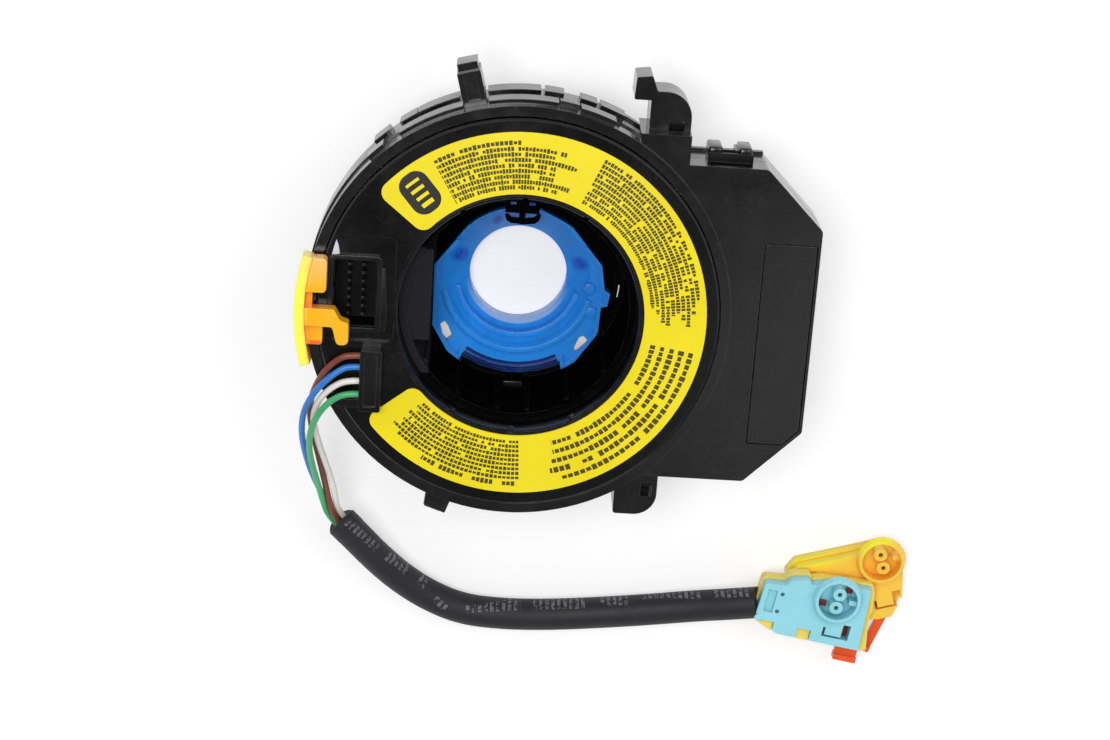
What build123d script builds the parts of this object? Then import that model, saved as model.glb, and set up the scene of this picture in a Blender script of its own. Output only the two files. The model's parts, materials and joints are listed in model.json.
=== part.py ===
"""Steering clock spring: a fixed housing round a rotor, with the wheel-side harness and its two plugs.

Millimetres, +Z out of the wheel side. The origin is on the axis of the column bore, in the plane of
the rear seat. The connector box of the housing points along +X.
"""

import os
from math import atan2, cos, degrees, hypot, pi, radians, sin, tan

from build123d import *

# ------------------------------------------------------------------ heights, from the rear seat
DISC_TOP = 44.3
LABEL_T = 0.3
FACE_Z = 43.0  # front face of the fixed ring
SPLIT_Z = 33.5  # where the two halves of the housing meet
REAR_Z = 23.0  # rear face of the housing
SEAM = 0.1  # gap between the two halves
REAR_FLOOR_T = 1.8
BOX_STEP = 0.6  # the face of the box lies this much behind the ring

# ------------------------------------------------------------------ fits
RUN_GAP = 0.35  # between the rotor and the housing
SEAT_GAP = 0.1  # between pieces pressed together in one body
SLIDE_GAP = 0.3  # round a sliding latch

# ------------------------------------------------------------------ housing
RING_R = 54.7
LEDGE_R = 55.2
WALL = 1.6
FACE_OPENING_R = 52.1
BOX_TOP_Y = 42.0
BOX_BOTTOM_Y = -42.4
BOX_RIGHT_X = 76.2
BOX_CHAMFER_TOP = 15.3
BOX_CHAMFER_BOTTOM = 14.4
BOX_CORNER_R = 1.6
COLLAR_R = 39.6
COLLAR_WALL = 2.4
PANEL_X = 61.8
PANEL_TOP_Y = 22.8
PANEL_BOTTOM_Y = -29.6
PANEL_T = 1.0
PANEL_LEDGE = 1.4
PANEL_CORNER_R = 1.4

# ------------------------------------------------------------------ rotor
ROTOR_R = FACE_OPENING_R - RUN_GAP
ROTOR_T = 2.4
OPENING_R = 31.0
TUBE_WALL = 2.0
TUBE_R = OPENING_R + TUBE_WALL
SLEEVE_WALL = 2.1
SLEEVE_TOP = 37.4
SLEEVE_FLOOR_Z = 6.0
SLEEVE_FLOOR_T = 2.0
RETAINER_R = 35.4
RETAINER_T = 1.8

# ------------------------------------------------------------------ cancel cam
BORE_R = 13.2
BORE_DEPTH = 4.0
CAM_WALL = 2.0
CAM_FLANGE_R = 24.2
CAM_FLANGE_T = 2.6
CAM_SLOPE_R = 0.815 * CAM_FLANGE_R  # outer end of the sloped cup
CAM_ARC_R = 1.058 * CAM_FLANGE_R  # lower edge of the flange
CAM_SKIRT_R = 1.12 * CAM_FLANGE_R  # thin skirt under that edge
CAM_SKIRT_T = 0.9
CAM_RIM_W = 1.0  # raised rim along the edge of the flange
CAM_RIM_H = 0.6
# corners of the flange between its wings, as shares of its radius
CAM_CORNERS = (
    (-0.930, -0.54),
    (-0.942, 0.12),
    (-0.586, 0.585),
    (-0.44, 0.69),
    (-0.19, 0.80),
    (0.21, 0.81),
    (0.45, 0.70),
    (0.575, 0.625),
    (0.926, 0.215),
    (0.975, -0.07),
    (1.037, -0.10),
    (1.015, -0.255),
    (0.946, -0.265),
    (0.930, -0.55),
    (0.915, -0.60),
    (0.61, -1.045),
    (0.54, -1.035),
    (0.52, -0.90),
    (-0.58, -0.88),
    (-0.595, -1.0),
    (-0.69, -0.985),
    (-0.935, -0.575),
)
WINDOW_ANGLES = (-140.0, -44.5)
WINDOW_R = 24.6
LOBE_R = 28.0

# ------------------------------------------------------------------ switch socket on the rotor
SOCKET_X = (-48.7, -35.4)
SOCKET_Y = (-6.4, 13.5)
SOCKET_TOP = 43.3
SOCKET_DEPTH = 8.0
SOCKET_WALL = 1.3
SOCKET_FLOOR_T = 1.6
PIN_W = 0.64
PIN_L = 4.6
PIN_PITCH = 2.2
PIN_ROWS = 7
PIN_COLUMNS = 2
PIN_COLUMN_PITCH = 3.6

# ------------------------------------------------------------------ wire holder
HOLDER_X = (-39.8, -34.2)
HOLDER_Y = (-26.8, -10.3)
HOLDER_H = 4.4
WIRE_D = 1.7
WIRE_Z = 46.9

# ------------------------------------------------------------------ flat cable
RIBBON_T = 0.3
RIBBON_Z = (25.8, 32.6)
RIBBON_START_R = 34.6
RIBBON_PITCH = 2.4
RIBBON_TURNS = 6

# ------------------------------------------------------------------ label
LABEL_R = (32.4, 48.4)
LABEL_ANGLES = (-142.0, 141.0)
LABEL_CORNER_R = 3.0

# ------------------------------------------------------------------ sleeve tube
SHEATH_D = 9.0


def block(x, y, z):
    """A box between pairs of coordinates."""
    size = (x[1] - x[0], y[1] - y[0], z[1] - z[0])
    return Pos((x[0] + x[1]) / 2, (y[0] + y[1]) / 2, (z[0] + z[1]) / 2) * Box(*size)


def prism(face, z0, z1):
    """A flat face in XY extruded between two heights."""
    return Pos(0, 0, z0) * extrude(face, z1 - z0)


def ring(r_out, r_in, z0, z1):
    """A round tube on the axis."""
    return prism(Circle(r_out) - Circle(r_in), z0, z1)


def disc(radius, z0, z1):
    """A solid round slab on the axis."""
    return prism(Circle(radius), z0, z1)


def polar(radius, angle):
    """A point in XY from a radius and an angle in degrees."""
    return (radius * cos(radians(angle)), radius * sin(radians(angle)))


def sector(r_in, r_out, start, end):
    """The face between two radii and two angles in degrees."""
    sweep = end - start
    outer = CenterArc((0, 0), r_out, start, sweep)
    inner = CenterArc((0, 0), r_in, start, sweep)
    return make_face([outer, Line(outer @ 1, inner @ 1), inner, Line(inner @ 0, outer @ 0)])


def rounded_rect(x, y, radius):
    """A rectangle between pairs of coordinates, with round corners."""
    centre = Pos((x[0] + x[1]) / 2, (y[0] + y[1]) / 2)
    return centre * RectangleRounded(x[1] - x[0], y[1] - y[0], radius)


def box_outline(grow=0.0):
    """The connector box seen from the wheel side, with its inner end on the axis."""
    top = BOX_TOP_Y
    bottom = BOX_BOTTOM_Y
    points = [
        (0, top),
        (BOX_RIGHT_X - BOX_CHAMFER_TOP, top),
        (BOX_RIGHT_X, top - BOX_CHAMFER_TOP),
        (BOX_RIGHT_X, bottom + BOX_CHAMFER_BOTTOM),
        (BOX_RIGHT_X - BOX_CHAMFER_BOTTOM, bottom),
        (0, bottom),
    ]
    radii = [0.01, BOX_CORNER_R, BOX_CORNER_R, BOX_CORNER_R, BOX_CORNER_R, 0.01]
    face = make_face(FilletPolyline(points, radius=radii, close=True))
    return face if grow == 0 else offset(face, grow, kind=Kind.INTERSECTION)


def housing_outline(radius, grow=0.0):
    """The round body with its box."""
    return Circle(radius) + box_outline(grow)


# ====================================================================== fixed side
ARM_Z = (24.6, 36.6)
TAB_Z = (28.0, 38.0)
TAB_A_ANGLE = 104.8
TAB_A_REACH = 65.6
TAB_A_W = 6.0
TAB_B_ANGLE = -108.9
TAB_B_REACH = 60.6
TAB_B_W = 5.3
ARM_C_X = (30.2, 40.8)
ARM_C_TOP_Y = 59.1
ARM_C_CORNER_R = 6.5
HOOK_X = (25.9, 30.6)
HOOK_Y = (56.7, 62.9)
ARM_D_X = (28.6, 40.0)
ARM_D_BOTTOM_Y = -55.8
ARM_D_CORNER_R = 6.0
SKIRT_BLOCKS = ((131.0, 136.3), (107.8, 125.9), (82.9, 101.1), (67.2, 76.9))
SKIRT_BLOCK_T = 1.3
SKIRT_BLOCK_Z = (35.0, 41.0)
LOW_BLOCK = (77.3, 82.5)
REAR_LUGS = ((129.2, 134.2), (120.6, 125.8), (108.8, 120.3), (87.5, 101.3), (81.5, 86.5), (72.5, 77.1), (64.5, 71.5))
REAR_LUG_T = 1.3
REAR_LUG_Z = (24.2, 31.4)
SNAP_X = (46.2, 56.6)
SNAP_Z = (36.4, 40.2)
SNAP_LUG_W = 3.3
SNAP_LUG_REACH = 1.9


def radial_tab(angle, width, reach, z):
    """A flat tab that stands out of the housing, with a thinner tip."""
    root_r = RING_R - WALL / 2
    tip = 2.2
    tab = block((root_r, reach - tip), (-width / 2, width / 2), z)
    tab += block((reach - tip, reach), (-width / 2 + 0.4, width / 2 - 0.4), (z[0], z[1] - 1.2))
    groove_r = (RING_R + SKIRT_BLOCK_T, reach - tip - 0.6)
    groove = block(groove_r, (-width / 2 + 1.4, width / 2 - 1.4), (z[1] - 0.6, z[1] + 1))
    return Rot(0, 0, angle) * (tab - groove)


def arm_c():
    """The upper arm with its hook head."""
    x0, x1 = ARM_C_X
    outline = FilletPolyline(
        [(x0, BOX_TOP_Y - 1), (x0, ARM_C_TOP_Y), (x1, ARM_C_TOP_Y), (x1, BOX_TOP_Y - 1)],
        radius=[0.4, 0.4, ARM_C_CORNER_R, 0.4],
        close=True,
    )
    post = prism(make_face(outline), *ARM_Z)
    head = prism(
        make_face(
            FilletPolyline(
                [(HOOK_X[0], HOOK_Y[0]), (HOOK_X[1], HOOK_Y[0]), (HOOK_X[1] + 1.3, ARM_C_TOP_Y - 0.5)]
                + [(HOOK_X[1] - 0.4, HOOK_Y[1]), (HOOK_X[0] + 0.3, HOOK_Y[1] - 0.5)],
                radius=0.4,
                close=True,
            )
        ),
        *ARM_Z,
    )
    pocket = block((x1 - 4.6, x1 - 1.6), (47.5, 51.5), (ARM_Z[1] - 1.4, ARM_Z[1] + 1))
    foot = block((x0 - 2.2, x1), (BOX_TOP_Y - 1, 49.4), (ARM_Z[0], FACE_Z - BOX_STEP))
    return post + head + foot - pocket


def arm_d():
    """The lower arm."""
    x0, x1 = ARM_D_X
    outline = FilletPolyline(
        [(x0, BOX_BOTTOM_Y + 1), (x1, BOX_BOTTOM_Y + 1), (x1, ARM_D_BOTTOM_Y), (x0, ARM_D_BOTTOM_Y)],
        radius=[0.4, 0.4, ARM_D_CORNER_R, 0.8],
        close=True,
    )
    arm = prism(make_face(outline), *ARM_Z)
    pocket = block((x0 + 7.0, x0 + 10.0), (-50.6, -46.6), (ARM_Z[1] - 1.4, ARM_Z[1] + 1))
    return arm - pocket


def front_cover():
    """The front half: the ring round the rotor, the box face, the skirt and the arms."""
    body = prism(housing_outline(RING_R), SPLIT_Z + SEAM, FACE_Z)
    body -= prism(box_outline(1) - Circle(RING_R), FACE_Z - BOX_STEP, FACE_Z + 1)
    face_t = 2.2
    body -= prism(housing_outline(RING_R - WALL, -WALL), SPLIT_Z, FACE_Z - face_t)
    body -= disc(FACE_OPENING_R, SPLIT_Z, FACE_Z + 1)
    for start, end in SKIRT_BLOCKS:
        body += prism(sector(RING_R - 0.6, RING_R + SKIRT_BLOCK_T, start, end), *SKIRT_BLOCK_Z)
    low = (SKIRT_BLOCK_Z[0], SKIRT_BLOCK_Z[1] - 3)
    body += prism(sector(RING_R - 0.6, RING_R + SKIRT_BLOCK_T, *LOW_BLOCK), *low)
    lip = ring(LEDGE_R, RING_R - 0.5, SPLIT_Z + SEAM, SPLIT_Z + SEAM + 1.0)
    body += lip - prism(box_outline(-0.01), SPLIT_Z, FACE_Z)
    arms = radial_tab(TAB_A_ANGLE, TAB_A_W, TAB_A_REACH, TAB_Z)
    arms += radial_tab(TAB_B_ANGLE, TAB_B_W, TAB_B_REACH, TAB_Z)
    arms += arm_c() + arm_d()
    arms -= prism(housing_outline(LEDGE_R + RUN_GAP + REAR_LUG_T, RUN_GAP), REAR_Z - 1, SPLIT_Z + SEAM)
    arms -= prism(housing_outline(RING_R - WALL, -WALL), SPLIT_Z, FACE_Z - face_t)
    arms -= disc(RING_R - WALL, SPLIT_Z, FACE_Z + 1)
    body += arms
    # the panel lies in a rebate and the opening under it shows the terminals
    panel = panel_outline(SEAT_GAP)
    body -= prism(panel, FACE_Z - BOX_STEP - PANEL_T, FACE_Z)
    body -= prism(offset(panel_outline(), -PANEL_LEDGE, kind=Kind.INTERSECTION), SPLIT_Z, FACE_Z)
    window = block(SNAP_X, (BOX_TOP_Y - WALL - 1, BOX_TOP_Y + 1), SNAP_Z)
    return body - window


def panel_outline(grow=0.0):
    """The outline of the panel in the face of the box; its right edge follows the box wall."""
    right = BOX_RIGHT_X - WALL / 2
    bottom = BOX_BOTTOM_Y + BOX_CHAMFER_BOTTOM
    slope = (PANEL_BOTTOM_Y - 2.6 - bottom) * BOX_CHAMFER_BOTTOM / BOX_CHAMFER_BOTTOM
    points = [
        (PANEL_X, PANEL_TOP_Y),
        (right, PANEL_TOP_Y),
        (right, bottom + 0.4),
        (right + slope, PANEL_BOTTOM_Y - 2.2),
        (PANEL_X, PANEL_BOTTOM_Y - 2.2),
    ]
    face = make_face(FilletPolyline(points, radius=[PANEL_CORNER_R, 0.4, 0.4, 0.4, 0.6], close=True))
    return face if grow == 0 else offset(face, grow, kind=Kind.INTERSECTION)


def box_cover():
    """The panel over the terminals."""
    top = FACE_Z - BOX_STEP
    panel = prism(panel_outline(), top - PANEL_T, top)
    panel = chamfer(panel.faces().sort_by(Axis.Z)[-1].edges(), 0.3)
    rib_x = PANEL_X + PANEL_LEDGE + 1
    clip = block((rib_x, rib_x + 1.2), (-20, -12), (top - PANEL_T - 3, top - PANEL_T))
    clip += block((rib_x, rib_x + 1.2), (6, 14), (top - PANEL_T - 3, top - PANEL_T))
    return panel + clip


MAIN_SOCKET_X = (57.0, 71.0)
MAIN_SOCKET_Y = (-24.0, 4.0)
AIRBAG_SOCKET_X = (57.0, 71.0)
AIRBAG_SOCKET_Y = (8.0, 22.0)
COLUMN_SOCKET_Z = (6.0, REAR_Z + REAR_FLOOR_T)
COLUMN_SOCKET_WALL = 1.4
COLUMN_FLANGE = 1.2
COLUMN_FLOOR_T = 1.8


def column_hole(x, y):
    """The cut in the rear floor that a column socket passes through."""
    return block(
        (x[0] - SEAT_GAP, x[1] + SEAT_GAP),
        (y[0] - SEAT_GAP, y[1] + SEAT_GAP),
        (REAR_Z - 1, REAR_Z + REAR_FLOOR_T + 1),
    )


def column_socket(x, y):
    """A shroud that opens to the rear, hung on its flange in the floor of the housing."""
    z0, z1 = COLUMN_SOCKET_Z
    flange_z = (z1, z1 + COLUMN_FLANGE)
    shroud = prism(rounded_rect(x, y, 1.0), z0, z1)
    flange = block((x[0] - 1.2, x[1] + 1.2), (y[0] - 1.2, y[1] + 1.2), flange_z)
    w = COLUMN_SOCKET_WALL
    cavity_top = z1 + COLUMN_FLANGE - COLUMN_FLOOR_T
    cavity = prism(rounded_rect((x[0] + w, x[1] - w), (y[0] + w, y[1] - w), 0.6), z0 - 1, cavity_top)
    rib_y = (y[0] + y[1]) / 2
    key = block((x[0] - 1.1, x[0] + 0.2), (rib_y - 1.5, rib_y + 1.5), (z0, REAR_Z - 4))
    return shroud + flange + key - cavity


def column_pin_sites(x, y):
    """The pin centres of a column socket."""
    w = COLUMN_SOCKET_WALL
    rows = int((y[1] - y[0] - 2 * w - 2) / PIN_COLUMN_PITCH) + 1
    centre_y = (y[0] + y[1]) / 2
    centre_x = (x[0] + x[1]) / 2
    sites = []
    for column in (-1, 1):
        for row in range(rows):
            sites.append((centre_x + column * PIN_COLUMN_PITCH / 2, centre_y + (row - (rows - 1) / 2) * PIN_COLUMN_PITCH))
    return sites


def column_pins(x, y):
    """The square pins of a column socket; each ends on the floor plate."""
    top = COLUMN_SOCKET_Z[1] + COLUMN_FLANGE - COLUMN_FLOOR_T
    half = PIN_W / 2
    solids = []
    for px, py in column_pin_sites(x, y):
        solids.append(block((px - half, px + half), (py - half, py + half), (COLUMN_SOCKET_Z[0] + 4, top)))
    return Compound(children=solids)


def rear_case():
    """The rear half: the floor, the band with its lugs and the collar that seats on the column."""
    body = prism(housing_outline(LEDGE_R), REAR_Z, SPLIT_Z)
    body -= prism(housing_outline(LEDGE_R - WALL - 0.2, -WALL), REAR_Z + REAR_FLOOR_T, SPLIT_Z + 1)
    body -= disc(TUBE_R + RUN_GAP, REAR_Z - 1, SPLIT_Z + 1)
    for start, end in REAR_LUGS:
        body += prism(sector(LEDGE_R - 0.6, LEDGE_R + REAR_LUG_T, start, end), *REAR_LUG_Z)
    body += prism(sector(LEDGE_R - 0.6, LEDGE_R + 0.7, 58.5, 64.5), REAR_LUG_Z[0], REAR_LUG_Z[0] + 3)
    for x in (SNAP_X[0], SNAP_X[1] - SNAP_LUG_W):
        y = (BOX_TOP_Y - 0.6, BOX_TOP_Y + SNAP_LUG_REACH)
        body += block((x, x + SNAP_LUG_W), y, (REAR_LUG_Z[0], REAR_LUG_Z[1]))
    rail_x = (ARM_C_X[1] + 0.6, BOX_RIGHT_X - BOX_CHAMFER_TOP)
    body += block(rail_x, (BOX_TOP_Y - 0.6, BOX_TOP_Y + 0.8), (REAR_LUG_Z[0], REAR_LUG_Z[0] + 2))
    collar = ring(COLLAR_R, COLLAR_R - COLLAR_WALL, 0, REAR_Z + 0.5)
    for angle in range(30, 390, 60):
        rib = block((COLLAR_R - 0.5, COLLAR_R + 6.5), (-0.8, 0.8), (14, REAR_Z + 0.5))
        rib -= Pos(COLLAR_R + 6.5, 0, 14) * Rot(0, 45, 0) * Box(8, 4, 8)
        collar += Rot(0, 0, angle) * rib
    body += collar
    body -= column_hole(MAIN_SOCKET_X, MAIN_SOCKET_Y)
    body -= column_hole(AIRBAG_SOCKET_X, AIRBAG_SOCKET_Y)
    return body


LEAD_BLOCK_X = (53.6, 56.4)
LEAD_BLOCK_Y = (-22.0, 20.0)


def outer_lead_block():
    """The carrier that joins the flat cable to the column terminals."""
    floor = REAR_Z + REAR_FLOOR_T
    plate = block((LEAD_BLOCK_X[0], LEAD_BLOCK_X[1] - 1.2), LEAD_BLOCK_Y, (floor, RIBBON_Z[1] + 1))
    foot = block((LEAD_BLOCK_X[0], LEAD_BLOCK_X[1] - 0.9), LEAD_BLOCK_Y, (floor, floor + 1))
    for y in range(-18, 18, 7):
        foot += block((LEAD_BLOCK_X[0], LEAD_BLOCK_X[1] - 0.9), (y, y + 1.2), (floor, RIBBON_Z[1]))
    return plate + foot


def slip_sheet():
    """The thin ring that the flat cable slides on."""
    floor = REAR_Z + REAR_FLOOR_T
    return ring(RING_R - WALL - 2.6, TUBE_R + RUN_GAP + 0.6, floor, floor + 0.3)


def ribbon_cable():
    """The flat cable: half turns about two centres, a pitch apart."""
    step = RIBBON_PITCH / 2
    half_t = RIBBON_T / 2
    edges = {}
    for side in (-half_t, half_t):
        arcs = []
        for turn in range(2 * RIBBON_TURNS):
            centre_x = step / 2 if turn % 2 else -step / 2
            radius = RIBBON_START_R + step + turn * step + side
            start = 180 if turn % 2 else 0
            arcs.append(CenterArc((centre_x, 0), radius, start, 180))
        edges[side] = arcs
    inner, outer = edges[-half_t], edges[half_t]
    ends = [Line(inner[0] @ 0, outer[0] @ 0), Line(inner[-1] @ 1, outer[-1] @ 1)]
    return prism(make_face(inner + outer + ends), *RIBBON_Z)


# ====================================================================== rotor
def rotor_disc():
    """The turning front plate with its long inner tube."""
    plate = disc(ROTOR_R, DISC_TOP - ROTOR_T, DISC_TOP)
    tube = disc(TUBE_R, REAR_Z - RUN_GAP, DISC_TOP)
    body = chamfer(plate.edges().filter_by(GeomType.CIRCLE).group_by(Axis.Z)[-1], 0.5) + tube
    body -= disc(OPENING_R, REAR_Z - 1, DISC_TOP + 1)
    rim = revolve(
        Plane.XZ * make_face(
            Polyline(
                (OPENING_R, DISC_TOP - 0.2),
                (OPENING_R + 1.1, DISC_TOP - 0.2),
                (OPENING_R + 1.1, DISC_TOP),
                (OPENING_R + 0.9, DISC_TOP + 0.5),
                (OPENING_R + 0.3, DISC_TOP + 0.5),
                close=True,
            )
        ),
        Axis.Z,
    )
    body += rim
    # the switch socket stands in a sunk field with a raised step above it
    field = rounded_rect((-49.0, -31.9), (SOCKET_Y[0] - 2.6, SOCKET_Y[1] + 5.4), 2.0)
    field &= Circle(ROTOR_R - 1.2)
    body -= prism(field - Circle(OPENING_R + 1.1), DISC_TOP - 1.0, DISC_TOP + 1)
    hole_x = (SOCKET_X[0] - SEAT_GAP, SOCKET_X[1] + SEAT_GAP)
    hole_y = (SOCKET_Y[0] - SEAT_GAP, SOCKET_Y[1] + SEAT_GAP)
    body -= block(hole_x, hole_y, (SPLIT_Z, DISC_TOP + 1))
    for angle in (60, 90, 120, 240, 270, 300):
        notch = block((OPENING_R - 0.5, OPENING_R + 0.6), (-0.7, 0.7), (DISC_TOP - 3, DISC_TOP + 1))
        body -= Rot(0, 0, angle) * notch
    return body


def label():
    """The film on the rotor, a broad arc with round ends."""
    start, end = LABEL_ANGLES
    face = sector(LABEL_R[0], LABEL_R[1], start, end)
    face = fillet(face.vertices(), LABEL_CORNER_R)
    return prism(face, DISC_TOP, DISC_TOP + LABEL_T)


def switch_socket():
    """The shrouded socket for the wheel switches."""
    bottom = SOCKET_TOP - SOCKET_DEPTH - SOCKET_FLOOR_T
    w = SOCKET_WALL
    shell = prism(rounded_rect(SOCKET_X, SOCKET_Y, 0.8), bottom, SOCKET_TOP)
    inner_x = (SOCKET_X[0] + w, SOCKET_X[1] - w)
    inner_y = (SOCKET_Y[0] + w, SOCKET_Y[1] - w)
    shell -= prism(rounded_rect(inner_x, inner_y, 0.5), bottom + SOCKET_FLOOR_T, SOCKET_TOP + 1)
    slot_y = (SOCKET_Y[0] + 11.0, SOCKET_Y[0] + 15.4)
    shell -= block((SOCKET_X[1] - w - 0.1, SOCKET_X[1] + 1), slot_y, (SOCKET_TOP - 4.0, SOCKET_TOP + 1))
    shell -= block((SOCKET_X[0] - 1, SOCKET_X[0] + w + 0.1), (5.2, 7.2), (SOCKET_TOP - 2.5, SOCKET_TOP + 1))
    return shell


def switch_pins():
    """The square pins in the switch socket."""
    floor = SOCKET_TOP - SOCKET_DEPTH
    centre_x = (SOCKET_X[0] + SOCKET_X[1]) / 2
    centre_y = (SOCKET_Y[0] + SOCKET_Y[1]) / 2
    half = PIN_W / 2
    solids = []
    for column in range(PIN_COLUMNS):
        for row in range(PIN_ROWS):
            x = centre_x + (column - (PIN_COLUMNS - 1) / 2) * PIN_COLUMN_PITCH
            y = centre_y + (row - (PIN_ROWS - 1) / 2) * PIN_PITCH
            solids.append(block((x - half, x + half), (y - half, y + half), (floor, floor + PIN_L)))
    return Compound(children=solids)


def wire_holder():
    """The block that holds the four wires on the rotor."""
    top = DISC_TOP + HOLDER_H
    body = prism(rounded_rect(HOLDER_X, HOLDER_Y, 0.6), DISC_TOP, top)
    body += block((HOLDER_X[0] - 7.4, HOLDER_X[0] + 0.2), (HOLDER_Y[0], HOLDER_Y[0] + 2.2), (DISC_TOP, DISC_TOP + 1.2))
    groove = block((HOLDER_X[0] + 1.2, HOLDER_X[1] - 1.2), (HOLDER_Y[0] + 1.4, HOLDER_Y[1] - 1.4), (top - 0.5, top + 1))
    return body - groove


CHORD_X = -22.7
CHORD_Y = (-10.4, 14.1)


def hub_sleeve():
    """The black sleeve inside the rotor tube, with the floor that carries the cam and its hooks."""
    sleeve_r = OPENING_R - SEAT_GAP
    inner_r = sleeve_r - SLEEVE_WALL
    floor_top = SLEEVE_FLOOR_Z + SLEEVE_FLOOR_T
    body = ring(sleeve_r, inner_r, SLEEVE_FLOOR_Z, SLEEVE_TOP)
    body += disc(sleeve_r, SLEEVE_FLOOR_Z, floor_top)
    retainer_top = REAR_Z - 2 * RUN_GAP
    body += ring(RETAINER_R, sleeve_r - 0.5, retainer_top - RETAINER_T, retainer_top)
    body -= disc(CAM_SLOPE_R + SEAT_GAP, SLEEVE_FLOOR_Z - 1, floor_top + 1)
    for angle in WINDOW_ANGLES:
        hole = block((WINDOW_R - 3.2, WINDOW_R + 2.2), (-3.2, 3.2), (SLEEVE_FLOOR_Z - 1, floor_top + 1))
        body -= Rot(0, 0, angle) * hole
    slit = prism(sector(26.6, 27.8, -10, 4), SLEEVE_FLOOR_Z - 1, floor_top + 1)
    body -= slit
    # flat wall inside the sleeve
    wall = block((-inner_r - 0.3, CHORD_X), CHORD_Y, (floor_top + CAM_FLANGE_T, SLEEVE_TOP - 1.2))
    body += wall & disc(sleeve_r - 0.5, 0, DISC_TOP)
    hook_z = floor_top + CAM_FLANGE_T
    body += block((-1.7, 1.7), (18.6, inner_r + 0.5), (hook_z, hook_z + 2.4))
    body += block((-4.6, 4.6), (18.4, 20.6), (hook_z, hook_z + 2.4))
    body += block((-2.5, 2.7), (-inner_r - 0.5, -inner_r + 1.6), (floor_top - 0.1, floor_top + 8))
    for angle in (20, 45, 70, 110, 135, 215, 240, 262, 278, 300, 325):
        rib = block((inner_r - 0.6, inner_r + 0.5), (-0.5, 0.5), (floor_top, SLEEVE_TOP - 2))
        body += Rot(0, 0, angle) * rib
    return body


def cam_outline():
    """The flange of the cam: straight facets above, two wings below and a step at the right."""
    corners = [(x * CAM_FLANGE_R, y * CAM_FLANGE_R) for x, y in CAM_CORNERS]
    face = make_face(FilletPolyline(corners, radius=0.35, close=True))
    face += sector(CAM_SLOPE_R - 1, CAM_ARC_R, -124, -60)
    return face & Circle(LOBE_R)


def cancel_cam():
    """The cam that clips on the column shaft: a sloped cup with a winged flange."""
    floor_top = SLEEVE_FLOOR_Z + SLEEVE_FLOOR_T
    top = floor_top + CAM_FLANGE_T
    profile = Polyline(
        (BORE_R, 0),
        (BORE_R, BORE_DEPTH),
        (CAM_SLOPE_R, top),
        (CAM_SLOPE_R + 0.2, top),
        (CAM_SLOPE_R + 0.2, floor_top),
        (CAM_SLOPE_R, floor_top),
        (BORE_R + CAM_WALL, BORE_DEPTH - 1.6),
        (BORE_R + CAM_WALL, 0),
        close=True,
    )
    body = revolve(Plane.XZ * make_face(profile), Axis.Z)
    body += prism(cam_outline() - Circle(CAM_SLOPE_R), floor_top, top)
    body += prism(sector(CAM_SLOPE_R, CAM_SKIRT_R, -122, -62), floor_top, floor_top + CAM_SKIRT_T)
    edge = cam_outline() - offset(cam_outline(), -CAM_RIM_W, kind=Kind.INTERSECTION)
    below_hook = block((-2 * LOBE_R, 2 * LOBE_R), (-2 * LOBE_R, 0.42 * CAM_FLANGE_R), (0, DISC_TOP))
    body += prism(edge, top - 0.1, top + CAM_RIM_H) & below_hook
    for angle in WINDOW_ANGLES:
        hole = block((WINDOW_R - 1.5, WINDOW_R + 1.6), (-2.4, 2.4), (floor_top - 4, top + 1))
        body -= Rot(0, 0, angle) * hole
    for angle in (15.2, 161.5):
        body -= Rot(0, 0, angle) * (Pos(16.8, 0, 6) * Cylinder(0.9, 8))
    return body


# ====================================================================== transport lock
LOCK_Z = (44.6, 48.6)
LOCK_HANDLE_Z = (43.7, 49.0)
LOCK_HANDLE_R = (54.5, 57.1)
LOCK_HANDLE_ANGLES = (165.5, 195.5)


def transport_lock():
    """The clip that is pulled off outwards once the part is fitted."""
    handle = prism(sector(*LOCK_HANDLE_R, *LOCK_HANDLE_ANGLES), *LOCK_HANDLE_Z)
    z0, z1 = LOCK_Z
    upper = prism(rounded_rect((-55.4, -49.1), (4.6, 13.6), 1.1), z0, z1)
    link = block((-55.4, -52.6), (-9.4, 6), (z0, z1 - 1.4))
    arm = prism(
        make_face(
            FilletPolyline(
                [(-55.0, 0.3), (-46.9, 0.3), (-45.2, -2.6), (-43.1, -3.2), (-43.0, -8.9), (-45.9, -9.2)]
                + [(-47.2, -4.4), (-55.0, -4.4)],
                radius=[0.2, 0.8, 1.6, 0.7, 1.3, 1.2, 1.0, 0.2],
                close=True,
            )
        ),
        z0,
        z1,
    )
    lower = prism(rounded_rect((-55.6, -49.7), (-9.5, -4.0), 0.9), z0, z1 - 0.8)
    return handle + upper + link + arm + lower


# ====================================================================== cords
def round_path(points):
    """A path of straight runs with the largest tangent arcs that its runs allow."""
    pts = [Vector(*p) for p in points]
    radii = []
    for before, here, after in zip(pts, pts[1:], pts[2:]):
        turn = radians((here - before).get_angle(after - here))
        shorter = min((here - before).length, (after - here).length)
        radii.append(0.45 * shorter / tan(turn / 2))
    return FilletPolyline(pts, radius=radii), radii


def cord(name, points, diameter):
    """A round cord along a route; its least radius and its volume are printed."""
    path, radii = round_path(points)
    section = Plane(origin=path @ 0, z_dir=path % 0) * Circle(diameter / 2)
    body = sweep(section, path=path)
    expected = pi * diameter**2 / 4 * path.length
    print(f"{name}: length {path.length:.1f}, radii {min(radii):.1f} to {max(radii):.1f}, "
          f"volume {body.volume / expected:.4f} of section x length")
    return body


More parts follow.
